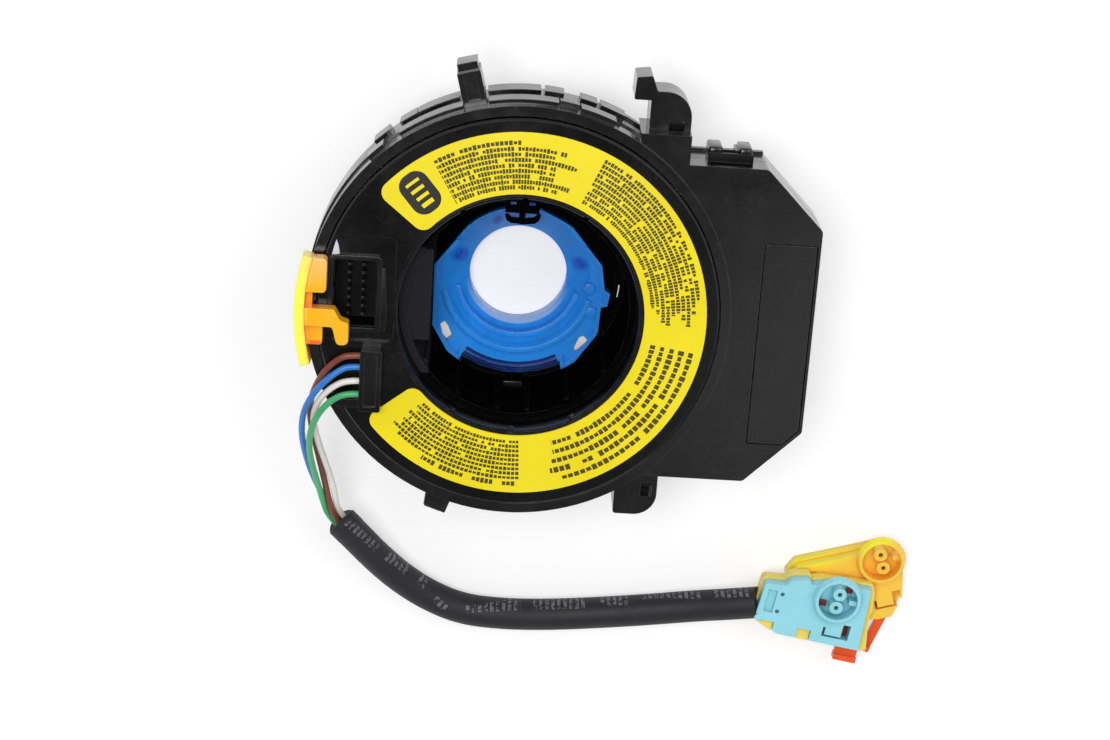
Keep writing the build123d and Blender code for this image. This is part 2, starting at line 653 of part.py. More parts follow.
SHEATH_ROUTE = [
    (-44.3, -72.1, 15.0),
    (-40.1, -77.4, 12.5),
    (-34.7, -84.2, 9.5),
    (-28.0, -91.0, 7.0),
    (-19.8, -96.9, 5.3),
    (-9.9, -101.0, 4.7),
    (2.4, -101.8, 4.7),
    (15.3, -101.2, 4.7),
    (29.6, -99.7, 4.7),
    (43.8, -97.9, 4.7),
    (56.6, -95.6, 5.6),
    (65.6, -93.2, 8.6),
    (73.6, -91.2, 10.6),
]
WIRE_ROUTES = {
    "wire_brown": [
        (-39.8, -12.2, 46.9),
        (-42.9, -12.2, 46.9),
        (-45.4, -13.4, 46.7),
        (-48.2, -16.2, 46.0),
        (-50.8, -20.8, 44.7),
        (-52.6, -26.8, 41.2),
        (-52.9, -33.8, 36.4),
        (-52.0, -41.4, 31.0),
        (-50.7, -49.6, 25.6),
        (-49.2, -58.0, 21.4),
        (-47.9, -64.6, 19.6),
        (-46.31, -69.57, 17.80),
        (-43.98, -72.51, 16.41),
    ],
    "wire_blue": [
        (-39.8, -15.2, 46.9),
        (-42.8, -15.2, 46.9),
        (-45.4, -16.6, 47.1),
        (-48.6, -19.4, 47.2),
        (-51.8, -23.8, 46.0),
        (-54.3, -30.0, 42.0),
        (-55.1, -37.4, 36.6),
        (-54.5, -45.2, 30.6),
        (-52.9, -53.6, 24.6),
        (-50.3, -61.6, 19.4),
        (-47.53, -68.02, 15.32),
        (-44.62, -71.69, 13.59),
    ],
    "wire_white": [
        (-39.8, -19.0, 46.9),
        (-42.9, -19.0, 46.9),
        (-46.6, -20.9, 46.8),
        (-50.2, -25.2, 45.2),
        (-51.9, -31.4, 41.4),
        (-51.2, -38.4, 36.0),
        (-49.8, -45.6, 30.6),
        (-47.9, -53.4, 25.2),
        (-46.5, -61.2, 20.6),
        (-46.03, -67.50, 16.73),
        (-43.12, -71.17, 15.00),
    ],
    "wire_green": [
        (-39.8, -22.6, 46.9),
        (-43.0, -22.6, 46.9),
        (-46.8, -24.6, 46.8),
        (-50.2, -29.0, 45.6),
        (-52.4, -35.4, 41.6),
        (-53.0, -42.8, 35.6),
        (-52.2, -50.4, 29.4),
        (-50.9, -57.6, 24.0),
        (-49.7, -64.2, 19.6),
        (-48.39, -69.36, 16.73),
        (-45.48, -73.03, 15.00),
    ],
}

# ====================================================================== plugs
BASE_T = 3.4
COVER_T = 3.6
PLUG_R = 5.5
PLUG_WALL = 0.9
PLUG_H = 1.8
PLUG_FLOOR = 1.6
BOSS_R = 1.9
BOSS_HOLE_R = 0.65
BOSS_PITCH = 4.1
LATCH_Z = (1.0, 2.6)
TONGUE_U = (0.0, 7.7)
TONGUE_V = (-4.6, 0.0)
PLUG_A = {
    "place": (73.2, -90.3),
    "angle": -9.5,
    "z": BASE_T + COVER_T + 0.5,
    "mouth": (21.5, 6.6),
    "points": [
        (0.0, -4.4),
        (7.6, -7.4),
        (33.0, -7.4),
        (31.0, 11.4),
        (16.0, 10.2),
        (13.4, 9.2),
        (12.6, 10.6),
        (7.6, 9.4),
        (6.2, 7.6),
        (0.6, 7.0),
    ],
    "radii": [0.6, 2.0, 0.6, 0.8, 0.6, 0.3, 0.5, 0.4, 0.4, 0.8],
    "latch": {"place": (29.2, -2.6), "angle": 0.0, "width": 6.4, "length": 9.6, "grip": 0.8, "open": 0.0},
    "tongue": (19.9, -0.6),
    "tabs": (((1.7, 5.9), (-8.6, -4.1)), ((12.9, 16.8), (-8.6, -4.4))),
    "pin_holes": ((6.0, 4.7), (5.8, -0.7)),
    "field": ((1.9, 4.5), (-1.4, 5.4)),
}
PLUG_B = {
    "place": (88.6, -89.4),
    "angle": 16.5,
    "z": 0.0,
    "mouth": (21.8, 5.7),
    "points": [
        (-4.4, -3.6),
        (6.0, -9.6),
        (17.6, -12.2),
        (21.6, -12.2),
        (25.6, -7.0),
        (26.9, -0.9),
        (26.7, 5.2),
        (24.6, 8.8),
        (16.3, 8.8),
        (-1.7, 8.9),
        (-4.7, 6.4),
    ],
    "radii": [0.6, 2.0, 1.0, 0.8, 1.2, 1.2, 1.0, 0.8, 0.4, 0.8, 0.8],
    "latch": {"place": (22.1, -9.9), "angle": -36.9, "width": 2.4, "length": 15.6, "grip": 0.3, "open": 1.2},
    "tongue": (17.6, -4.6),
    "tabs": (),
    "pin_holes": (),
    "field": ((0.6, 3.2), (0.4, 6.4)),
}


def plug_outline(spec, edge=0.0):
    """A plug seen from above; the cable enters at its narrow end."""
    face = make_face(FilletPolyline(spec["points"], radius=spec["radii"], close=True))
    return face if edge == 0 else offset(face, edge, kind=Kind.INTERSECTION)


def latch_place(spec):
    """The place and turn of a plug's latch."""
    latch = spec["latch"]
    return Pos(*latch["place"]) * Rot(0, 0, latch["angle"])


def plug_base(spec):
    """The lower shell of a plug, with the slot for its latch."""
    body = prism(plug_outline(spec, 0.6), 0, BASE_T)
    for u, v in spec["tabs"]:
        tab = block((u[0] + 0.1, u[1] - 0.1), (v[0], v[1] - 0.1), (BASE_T, BASE_T + COVER_T - 0.8))
        body += tab & prism(plug_outline(spec, 0.4), 0, 20)
    gap = SLIDE_GAP
    half = spec["latch"]["width"] / 2
    reach = spec["latch"]["length"] + 4
    side = half + gap + spec["latch"]["open"]
    slot = block((-half - gap, side), (-reach, gap), (LATCH_Z[0] - gap, LATCH_Z[1] + gap))
    return body - latch_place(spec) * slot


def plug_cover(spec):
    """The upper shell of a plug with its round mouth, two contact bosses and a spring tongue."""
    top = BASE_T + COVER_T
    cx, cy = spec["mouth"]
    body = prism(plug_outline(spec), BASE_T, top)
    low = (Align.CENTER, Align.CENTER, Align.MIN)
    body += Pos(cx, cy, top) * Cone(PLUG_R + PLUG_WALL + 0.7, PLUG_R + PLUG_WALL, PLUG_H, align=low)
    floor = BASE_T + PLUG_FLOOR - 0.8
    body -= prism(Pos(cx, cy) * Circle(PLUG_R), floor, top + PLUG_H + 1)
    for side in (-1, 1):
        boss = Pos(cx + 0.2, cy - 0.3 + side * BOSS_PITCH / 2)
        body += prism(boss * Circle(BOSS_R), floor - 0.2, top + 0.6)
        body -= prism(boss * Circle(BOSS_HOLE_R), floor + 0.6, top + 2)
    body += block((cx + PLUG_R - 2.2, cx + PLUG_R + 0.3), (cy - 0.7, cy + 0.7), (floor - 0.2, top + 0.6))
    for u, v in spec["tabs"]:
        body -= block(u, (v[0] - 2, v[1]), (BASE_T - 1, top + 1))
    # pin holes and a sunk field at the cable end, and the slots round the tongue
    for u, v in spec["pin_holes"]:
        body -= Pos(u, v, top) * Cylinder(0.6, 3)
    body -= block(*spec["field"], (top - 0.7, top + 1))
    u0, v0 = spec["tongue"]
    through = (BASE_T - 1, top + 1)
    left, right = u0 + TONGUE_U[0], u0 + TONGUE_U[1]
    body -= block((right - 2.2, right), (v0 + TONGUE_V[0], v0 + TONGUE_V[1]), through)
    body -= block((left, left + 0.7), (v0 + TONGUE_V[0], v0 + TONGUE_V[0] + 2.8), through)
    body -= block((left, right), (v0 + TONGUE_V[0], v0 + TONGUE_V[0] + 0.6), through)
    return body


def plug_latch(spec):
    """The sliding latch of a plug, with a thicker grip at its outer end."""
    half = spec["latch"]["width"] / 2
    length = spec["latch"]["length"]
    slide = block((-half, half), (-length, 0), LATCH_Z)
    grip_half = half + spec["latch"]["grip"] / 2 - 0.3
    grip = block((-grip_half, grip_half), (-length - 0.8, -length + 0.8), (LATCH_Z[0] - 0.6, LATCH_Z[1] + 0.9))
    return latch_place(spec) * (slide + grip)


def plug_contacts(spec):
    """The two sockets that sit in the bosses."""
    floor = BASE_T + PLUG_FLOOR - 0.8
    cx, cy = spec["mouth"]
    solids = []
    for side in (-1, 1):
        spot = Pos(cx + 0.2, cy - 0.3 + side * BOSS_PITCH / 2)
        sleeve = spot * (Circle(BOSS_HOLE_R - 0.05) - Circle(0.35))
        solids.append(prism(sleeve, floor + 0.6, BASE_T + COVER_T - 0.6))
    return Compound(children=solids)


def plug_set(name, spec):
    """The pieces of one plug in place."""
    place = Pos(spec["place"][0], spec["place"][1], spec["z"]) * Rot(0, 0, spec["angle"])
    pieces = {
        "cover": plug_cover(spec),
        "base": plug_base(spec),
        "lock": plug_latch(spec),
        "contacts": plug_contacts(spec),
    }
    return {f"{name}_{key}": place * shape for key, shape in pieces.items()}


def build():
    """Every node of the part by name."""
    nodes = {
        "rear_case": rear_case(),
        "front_cover": front_cover(),
        "box_cover": box_cover(),
        "column_socket_main": column_socket(MAIN_SOCKET_X, MAIN_SOCKET_Y),
        "column_pins_main": column_pins(MAIN_SOCKET_X, MAIN_SOCKET_Y),
        "column_socket_airbag": column_socket(AIRBAG_SOCKET_X, AIRBAG_SOCKET_Y),
        "column_pins_airbag": column_pins(AIRBAG_SOCKET_X, AIRBAG_SOCKET_Y),
        "outer_lead_block": outer_lead_block(),
        "ribbon_cable": ribbon_cable(),
        "slip_sheet": slip_sheet(),
        "rotor_disc": rotor_disc(),
        "label": label(),
        "switch_socket": switch_socket(),
        "switch_pins": switch_pins(),
        "wire_holder": wire_holder(),
        "hub_sleeve": hub_sleeve(),
        "cancel_cam": cancel_cam(),
        "transport_lock": transport_lock(),
        "sleeve_tube": cord("sleeve_tube", SHEATH_ROUTE, SHEATH_D),
    }
    for name, route in WIRE_ROUTES.items():
        nodes[name] = cord(name, route, WIRE_D)
    nodes.update(plug_set("connector_a", PLUG_A))
    nodes.update(plug_set("connector_b", PLUG_B))
    return nodes


os.makedirs("parts", exist_ok=True)
for node, shape in build().items():
    export_step(shape, f"parts/{node}.step")
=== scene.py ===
"""Looks of a steering clock spring: housing, rotor, cancel cam, transport clip and its harness."""

import json
import logging
import math
from collections.abc import Callable, Iterable, Iterator
from contextlib import contextmanager
from dataclasses import dataclass, field
from enum import Enum

import bpy
from mathutils import Matrix, Vector


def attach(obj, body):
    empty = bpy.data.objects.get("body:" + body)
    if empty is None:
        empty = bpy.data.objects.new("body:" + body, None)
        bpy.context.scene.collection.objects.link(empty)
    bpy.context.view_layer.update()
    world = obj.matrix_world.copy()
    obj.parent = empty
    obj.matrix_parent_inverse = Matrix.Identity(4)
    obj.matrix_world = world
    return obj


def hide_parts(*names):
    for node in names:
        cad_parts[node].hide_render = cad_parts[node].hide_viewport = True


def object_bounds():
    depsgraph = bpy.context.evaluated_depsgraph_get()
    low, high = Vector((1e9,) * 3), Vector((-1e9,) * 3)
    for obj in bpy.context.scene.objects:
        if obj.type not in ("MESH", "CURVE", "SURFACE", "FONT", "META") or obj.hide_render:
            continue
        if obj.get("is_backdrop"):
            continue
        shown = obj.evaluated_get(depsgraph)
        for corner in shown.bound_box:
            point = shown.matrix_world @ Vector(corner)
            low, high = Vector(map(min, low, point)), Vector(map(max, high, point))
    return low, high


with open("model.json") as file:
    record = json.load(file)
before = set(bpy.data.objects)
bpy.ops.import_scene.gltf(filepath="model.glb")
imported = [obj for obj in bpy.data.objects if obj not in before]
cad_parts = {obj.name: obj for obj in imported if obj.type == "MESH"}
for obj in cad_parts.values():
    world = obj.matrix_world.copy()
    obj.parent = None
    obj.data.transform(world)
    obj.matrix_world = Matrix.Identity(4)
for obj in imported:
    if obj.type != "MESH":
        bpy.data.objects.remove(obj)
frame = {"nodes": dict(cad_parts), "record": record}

MM = 0.001
LOG = logging.getLogger("clock_spring")

Pair = tuple[float, float]
Point = tuple[float, float, float]
Outline = tuple[Pair, ...]
Colour = Point
Piece = bpy.types.Object

BODY_OF = {
    node: body
    for body, nodes in frame["record"]["behaviour"]["bodies"].items()
    for node in nodes
}


def srgb(red: int, green: int, blue: int) -> Colour:
    """Linear colour of a paint-chart value.

    Args:
        red: red, 0 to 255.
        green: green, 0 to 255.
        blue: blue, 0 to 255.

    Returns:
        The three linear parts, 0 to 1.
    """

    def linear(part: int) -> float:
        """One linear part."""
        share = part / 255
        return share / 12.92 if share <= 0.04045 else ((share + 0.055) / 1.055) ** 2.4

    return linear(red), linear(green), linear(blue)


def metres(lengths: Iterable[float]) -> tuple[float, ...]:
    """Millimetres as metres."""
    return tuple(length * MM for length in lengths)


def placed(across: float, along: float, height: float = 0.0, angle: float = 0.0) -> Matrix:
    """A frame at a place in millimetres, turned round the upright by degrees."""
    turn = Matrix.Rotation(math.radians(angle), 4, "Z")
    return Matrix.Translation(Vector((across, along, height)) * MM) @ turn


class Socket(Enum):
    """Socket types of a shader node group."""

    NUMBER = "NodeSocketFloat"
    VECTOR = "NodeSocketVector"


class Signal:
    """A value in a node tree, which adds, multiplies and compares as a number does."""

    def __init__(self, graph: "Graph", socket: bpy.types.NodeSocket) -> None:
        """Wraps an output socket."""
        self.graph = graph
        self.socket = socket

    def __add__(self, other: "Source") -> "Signal":
        """Self plus other."""
        return self.graph.math("ADD", self, other)

    def __sub__(self, other: "Source") -> "Signal":
        """Self minus other."""
        return self.graph.math("SUBTRACT", self, other)

    def __rsub__(self, other: "Source") -> "Signal":
        """Other minus self."""
        return self.graph.math("SUBTRACT", other, self)

    def __mul__(self, other: "Source") -> "Signal":
        """Self times other."""
        return self.graph.math("MULTIPLY", self, other)

    def __truediv__(self, other: "Source") -> "Signal":
        """Self over other."""
        return self.graph.math("DIVIDE", self, other)

    def __gt__(self, other: "Source") -> "Signal":
        """1 where self is greater."""
        return self.graph.math("GREATER_THAN", self, other)

    def __lt__(self, other: "Source") -> "Signal":
        """1 where self is less."""
        return self.graph.math("LESS_THAN", self, other)

    def __abs__(self) -> "Signal":
        """Self without its sign."""
        return self.graph.math("ABSOLUTE", self)


Source = Signal | float | tuple


class Graph:
    """A node tree written as short calls."""

    NUMBER_OPERATIONS = ("DOT_PRODUCT", "DISTANCE", "LENGTH")
    MIX_SOCKETS = (0, 6, 7)

    def __init__(self, tree: bpy.types.NodeTree) -> None:
        """Wraps a tree."""
        self.tree = tree

    def add(self, kind: str, inputs: dict[str | int, Source] | None = None, **settings: object) -> bpy.types.Node:
        """Adds one node.

        Args:
            kind: the node's type name.
            inputs: what feeds its inputs, by name or number.
            settings: properties set on the node.

        Returns:
            The new node.
        """
        node = self.tree.nodes.new(kind)
        for name, value in settings.items():
            setattr(node, name, value)
        for key, source in (inputs or {}).items():
            self.feed(node.inputs[key], source)
        return node

    def value(self, kind: str, output: str | int = 0, inputs: dict[str | int, Source] | None = None,
              **settings: object) -> Signal:
        """Adds one node and gives one of its outputs."""
        return Signal(self, self.add(kind, inputs, **settings).outputs[output])

    def feed(self, socket: bpy.types.NodeSocket, source: Source) -> None:
        """Links a socket to its source, or sets its value.

        Args:
            socket: the input.
            source: a signal or a plain value.
        """
        if isinstance(source, Signal):
            self.tree.links.new(source.socket, socket)
        else:
            socket.default_value = source

    def math(self, operation: str, *terms: Source, clamp: bool = False) -> Signal:
        """A Math node, its result held between 0 and 1 where clamp is set."""
        return self.value("ShaderNodeMath", 0, dict(enumerate(terms)), operation=operation, use_clamp=clamp)

    def vector(self, operation: str, *terms: Source) -> Signal:
        """A Vector Math node: its number where the operation gives one, else its vector."""
        output = "Value" if operation in self.NUMBER_OPERATIONS else "Vector"
        return self.value("ShaderNodeVectorMath", output, dict(enumerate(terms)), operation=operation)

    def mix(self, factor: Source, first: Source, second: Source) -> Signal:
        """A colour between two colours."""
        ends = ((*term, 1.0) if isinstance(term, tuple) else term for term in (first, second))
        return self.value("ShaderNodeMix", 2, dict(zip(self.MIX_SOCKETS, (factor, *ends))), data_type="RGBA")

    def span(self, value: Source, low: float, high: float, to_low: float = 0.0, to_high: float = 1.0) -> Signal:
        """Maps low..high to to_low..to_high, held at both ends."""
        return self.value("ShaderNodeMapRange", 0, dict(enumerate((value, low, high, to_low, to_high))))

    def noise(self, place: Source, scale: Source, detail: float = 2.0, rough: float = 0.5) -> Signal:
        """Noise between 0 and 1."""
        inputs = {"Vector": place, "Scale": scale, "Detail": detail, "Roughness": rough}
        return self.value("ShaderNodeTexNoise", "Fac", inputs)

    def split(self, vector: Source) -> list[Signal]:
        """The three parts of a vector."""
        node = self.add("ShaderNodeSeparateXYZ", {0: vector})
        return [Signal(self, output) for output in node.outputs]

    def union(self, masks: Iterable[Signal]) -> Source:
        """Where at least one of some masks is set.

        Args:
            masks: numbers from 0 up.

        Returns:
            The largest of them.
        """
        largest = 0.0
        for mask in masks:
            largest = self.math("MAXIMUM", largest, mask)
        return largest

    def group(self, tree: bpy.types.NodeTree, **inputs: Source) -> dict[str, Signal]:
        """Places a node group.

        Args:
            tree: the group's tree.
            inputs: what feeds it, named with underscores for spaces.

        Returns:
            Its outputs by name.
        """
        named = {name.replace("_", " "): source for name, source in inputs.items()}
        node = self.add("ShaderNodeGroup", named, node_tree=tree)
        return {output.name: Signal(self, output) for output in node.outputs}


class Effect(Graph):
    """A shader node group that several finishes share.

    It takes the point on the surface as Vector, and a number under each further name.
    """

    def __init__(self, name: str, numbers: tuple[str, ...], outputs: dict[str, Socket]) -> None:
        """Makes the empty group.

        Args:
            name: the group's name.
            numbers: names of the numbers it takes.
            outputs: what it puts out.
        """
        super().__init__(bpy.data.node_groups.new(name, "ShaderNodeTree"))
        inputs = {"Vector": Socket.VECTOR, **dict.fromkeys(numbers, Socket.NUMBER)}
        for side, sockets in (("INPUT", inputs), ("OUTPUT", outputs)):
            for label, kind in sockets.items():
                self.tree.interface.new_socket(name=label, in_out=side, socket_type=kind.value)
        start = self.add("NodeGroupInput")
        self.given = {label: Signal(self, start.outputs[label]) for label in inputs}

    def close(self, **results: Signal) -> bpy.types.NodeTree:
        """Feeds the outputs and gives the group's tree."""
        self.add("NodeGroupOutput", results)
        return self.tree


class Effects:
    """The shared effects, each built once.

    A noise is its scale, detail and roughness, without a scale where the finish gives it. A span is the stretch
    of values that is drawn out to 0..1.
    """

    ROUND_SAMPLES = 4
    SKY_SAMPLES = 6
    FINE_NOISE = (3.0, 0.6)
    SLOW_SHARE = 0.04
    SLOW_SPAN, FINE_SPAN = (0.3, 0.7), (0.35, 0.7)
    PATCH_NOISE, PATCH_SPAN = (260.0, 3.0, 0.6), (0.35, 0.65)
    BEND_SPAN = (0.02, 0.25)
    FLECK_NOISE, FLECK_SPAN = (900.0, 4.0, 0.7), (0.5, 0.75)
    CLOUD_NOISE, CLOUD_SPAN = (60.0, 2.0, 0.5), (0.4, 0.7)
    UPWARD_SPAN = (0.2, 1.0)
    PACKED = 0.4
    BAR_SHARE = 0.8
    BAR_HEIGHTS = (0.3, 0.52)

    def __init__(self) -> None:
        """Builds every group."""
        self.grain = self.moulded_grain()
        # pale edges: rubbed edges, and a painted highlight along edges
        self.wear_and_glint = self.edge_wear_and_glint()
        # dust, and how enclosed each point is, for painted shade in corners and recesses
        self.dust = self.dust_and_hollow_shade()
        self.rows = self.arc_rows()
        self.pill = self.pill_mark()

    def moulded_grain(self) -> bpy.types.NodeTree:
        """Fine etched grain of a moulding tool, with a slow change of tone and rounded edges.

        Returns:
            The group's tree.
        """
        effect = Effect("moulded grain", ("Scale", "Depth", "Edge"),
                        {"Normal": Socket.VECTOR, "Tone": Socket.NUMBER, "Speckle": Socket.NUMBER})
        given = effect.given
        rounded = effect.value("ShaderNodeBevel", 0, {"Radius": given["Edge"]}, samples=self.ROUND_SAMPLES)
        fine = effect.noise(given["Vector"], given["Scale"], *self.FINE_NOISE)
        slow = effect.noise(given["Vector"], given["Scale"] * self.SLOW_SHARE, *self.FINE_NOISE)
        bump = effect.value("ShaderNodeBump", 0, {
            "Strength": 1.0, "Distance": given["Depth"], "Height": fine, "Normal": rounded})
        return effect.close(
            Normal=bump, Tone=effect.span(slow, *self.SLOW_SPAN), Speckle=effect.span(fine, *self.FINE_SPAN))

    def edge_wear_and_glint(self) -> bpy.types.NodeTree:
        """Where edges are rubbed pale; the same pale edges also stand as a painted highlight where edges catch light.

        Returns:
            The group's tree.
        """
        # pale edges: rubbed edges and a painted edge highlight at once
        effect = Effect("edge wear", ("Radius",), {"Mask": Socket.NUMBER})
        rounded = effect.value("ShaderNodeBevel", 0, {"Radius": effect.given["Radius"]}, samples=self.ROUND_SAMPLES)
        straight = effect.value("ShaderNodeNewGeometry", "Normal")
        bent = effect.span(1.0 - effect.vector("DOT_PRODUCT", rounded, straight), *self.BEND_SPAN)
        patch = effect.span(effect.noise(effect.given["Vector"], *self.PATCH_NOISE), *self.PATCH_SPAN)
        return effect.close(Mask=bent * patch)

    def dust_and_hollow_shade(self) -> bpy.types.NodeTree:
        """Where dust lies: inner corners, and faces that point up. It also puts out how enclosed each point is, which
        sets painted shade in corners and recesses.

        Returns:
            The group's tree.
        """
        effect = Effect("settled dust and hollow shade", ("Reach",), {"Mask": Socket.NUMBER, "Hollow": Socket.NUMBER})
        place = effect.given["Vector"]
        open_sky = effect.value(
            "ShaderNodeAmbientOcclusion", "AO", {"Distance": effect.given["Reach"]}, samples=self.SKY_SAMPLES)
        # how enclosed a point is: dust packs there, and the painted shade in corners follows it
        hollow_shade = effect.math("SUBTRACT", 1.0, open_sky, clamp=True)
        upward = effect.split(effect.value("ShaderNodeNewGeometry", "Normal"))[2]
        fleck = effect.span(effect.noise(place, *self.FLECK_NOISE), *self.FLECK_SPAN)
        cloud = effect.span(effect.noise(place, *self.CLOUD_NOISE), *self.CLOUD_SPAN)
        loose = fleck * cloud * effect.span(upward, *self.UPWARD_SPAN)
        mask = effect.math("ADD", loose, hollow_shade * (fleck + self.PACKED), clamp=True)
        return effect.close(Mask=mask, Hollow=hollow_shade)

    def arc_rows(self) -> bpy.types.NodeTree:
        """Rows of dashes bent round the column, standing for small print.

        Returns:
            The group's tree.
        """
        effect = Effect(
            "arc rows", ("Inner", "Outer", "Rows", "From", "To", "Pitch", "Fill", "Weight", "Ragged"),
            {"Mask": Socket.NUMBER})
        given = effect.given
        across, along, _ = effect.split(given["Vector"])
        radius = effect.math("SQRT", across * across + along * along)
        turn = effect.math("ARCTAN2", along, across)
        down = (given["Outer"] - radius) / (given["Outer"] - given["Inner"]) * given["Rows"]
        row = effect.math("FLOOR", down)
        middle = abs(effect.math("FRACT", down) - 0.5)
        inside = (down > 0.0) * (down < given["Rows"])
        line = effect.value("ShaderNodeTexWhiteNoise", "Value", {"W": row + given["To"]}, noise_dimensions="1D")
        sweep = (turn > given["From"] + given["Ragged"] * line) * (turn < given["To"])
        steps = turn / given["Pitch"]
        seat = effect.value("ShaderNodeCombineXYZ", 0, {
            "X": effect.math("FLOOR", steps), "Y": row, "Z": given["From"]})
        chance = effect.add("ShaderNodeTexWhiteNoise", {"Vector": seat}, noise_dimensions="3D")
        present = Signal(effect, chance.outputs["Value"]) < given["Fill"]
        uneven = effect.split(Signal(effect, chance.outputs["Color"]))[1]
        height = given["Weight"] * effect.span(uneven, 0.0, 1.0, *self.BAR_HEIGHTS)
        bar = effect.math("FRACT", steps) < self.BAR_SHARE
        return effect.close(Mask=present * bar * (middle < height) * inside * sweep)

    @staticmethod
    def pill_mark() -> bpy.types.NodeTree:
        """A round-ended bar at a radius and an angle, its long side along the radius.

        Returns:
            The group's tree.
        """
        effect = Effect("pill mark", ("Radius", "Angle", "Half length", "Half width", "Corner"),
                        {"Mask": Socket.NUMBER})
        given = effect.given
        across, along, _ = effect.split(given["Vector"])
        cosine, sine = effect.math("COSINE", given["Angle"]), effect.math("SINE", given["Angle"])
        outward = across * cosine + along * sine - given["Radius"]
        sideways = along * cosine - across * sine
        long_gap, wide_gap = (
            effect.math("MAXIMUM", abs(offset) - (half - given["Corner"]), 0.0)
            for offset, half in ((outward, given["Half length"]), (sideways, given["Half width"])))
        gap = effect.math("SQRT", long_gap * long_gap + wide_gap * wide_gap)
        return effect.close(Mask=gap < given["Corner"])


class Paint(Graph):
    """A material's node tree, with the point it paints and the shared effects."""

    def __init__(self, tree: bpy.types.NodeTree, effects: Effects) -> None:
        """Wraps a material's tree."""
        super().__init__(tree)
        self.effects = effects
        self.place = self.value("ShaderNodeTexCoord", "Object")

    def flat(self) -> Signal:
        """The point without its height."""
        return self.vector("MULTIPLY", self.place, (1.0, 1.0, 0.0))


@dataclass(frozen=True)
class Finish:
    """One moulded or drawn finish.

    Colours are linear, lengths are in millimetres.
    """

    name: str
    colour: Colour
    roughness: float = 0.45
    grain: float = 0.45
    depth: float = 0.006
    edge: float = 0.25
    tone: float = 0.15
    speckle: float = 0.0
    # pale edges, standing for rubbed edges and for a painted edge highlight
    wear_and_glint: float = 0.25
    wear_and_glint_colour: Colour = (0.3, 0.3, 0.3)
    dust: float = 0.2
    dust_colour: Colour = (0.35, 0.34, 0.32)
    # painted shade: a darker colour in corners and recesses, and how strongly it is laid
    hollow_shade_colour: Colour | None = None
    hollow_shade: float = 0.0
    reach: float = 2.0
    metallic: float = 0.0
    specular: float = 0.5
    coat: float = 0.0
    coat_roughness: float = 0.1
    subsurface: float = 0.0
    subsurface_radius: Point = (1.0, 0.5, 0.15)
    subsurface_scale: float = 1.5
    wear_spread: float = 1.6
    speckle_gain: float = 1.6
    speckle_lift: float = 0.012
    gloss_swing: Pair = (0.07, 0.09)
    gloss_least: float = 0.05

    def material(self, effects: Effects) -> bpy.types.Material:
        """The finish's material, made at its first use.

        Args:
            effects: the shared node groups.

        Returns:
            The material.
        """
        made = bpy.data.materials.get(self.name)
        if made:
            return made
        material = bpy.data.materials.new(self.name)
        material.use_nodes = True
        paint = Paint(material.node_tree, effects)
        grain = paint.group(
            effects.grain, Vector=paint.place, Scale=1 / (self.grain * MM), Depth=self.depth * MM, Edge=self.edge * MM)
        dust = paint.group(effects.dust, Vector=paint.place, Reach=self.reach * MM)
        wear_and_glint = paint.group(effects.wear_and_glint, Vector=paint.place, Radius=self.edge * self.wear_spread * MM)
        colour = self.base(paint)
        if colour is None:
            colour = paint.mix(grain["Tone"], self.shade(1 - self.tone), self.shade(1 + self.tone))
        if self.speckle:
            pale = tuple(min(1.0, part * self.speckle_gain + self.speckle_lift) for part in self.colour)
            colour = paint.mix(grain["Speckle"] * self.speckle, colour, pale)
        # painted shade: the darker colour laid into corners and recesses by how enclosed each point is
        if self.hollow_shade_colour:
            share = paint.math("MULTIPLY", dust["Hollow"], self.hollow_shade, clamp=True)
            colour = paint.mix(share, colour, self.hollow_shade_colour)
        # pale edges: rubbed edges and a painted edge highlight
        colour = paint.mix(wear_and_glint["Mask"] * self.wear_and_glint, colour, self.wear_and_glint_colour)
        colour = paint.mix(dust["Mask"] * self.dust, colour, self.dust_colour)
        low = max(self.gloss_least, self.roughness - self.gloss_swing[0])
        high = min(1.0, self.roughness + self.gloss_swing[1])
        feeds = {
            "Base Color": colour, "Roughness": paint.span(grain["Tone"], 0.0, 1.0, low, high),
            "Normal": grain["Normal"], "Metallic": self.metallic, "Specular IOR Level": self.specular,
            "Coat Weight": self.coat, "Coat Roughness": self.coat_roughness}
        if self.subsurface:
            feeds |= {"Subsurface Weight": self.subsurface, "Subsurface Radius": self.subsurface_radius,
                      "Subsurface Scale": self.subsurface_scale * MM}
        shader = material.node_tree.nodes["Principled BSDF"]
        for label, source in feeds.items():
            paint.feed(shader.inputs[label], source)
        return material

    def shade(self, share: float) -> Colour:
        """The finish's colour, darker or lighter."""
        return tuple(min(1.0, part * share) for part in self.colour)

    def base(self, paint: Paint) -> Signal | None:
        """A finish's own pattern, where it has one."""
        return None


@dataclass(frozen=True)
class PrintBlock:
    """A block of print rows on the label: radii and pitch in millimetres, angles in degrees."""

    inner: float
    outer: float
    rows: int
    start: float
    end: float
    pitch: float
    fill: float
    weight: float
    ragged: float


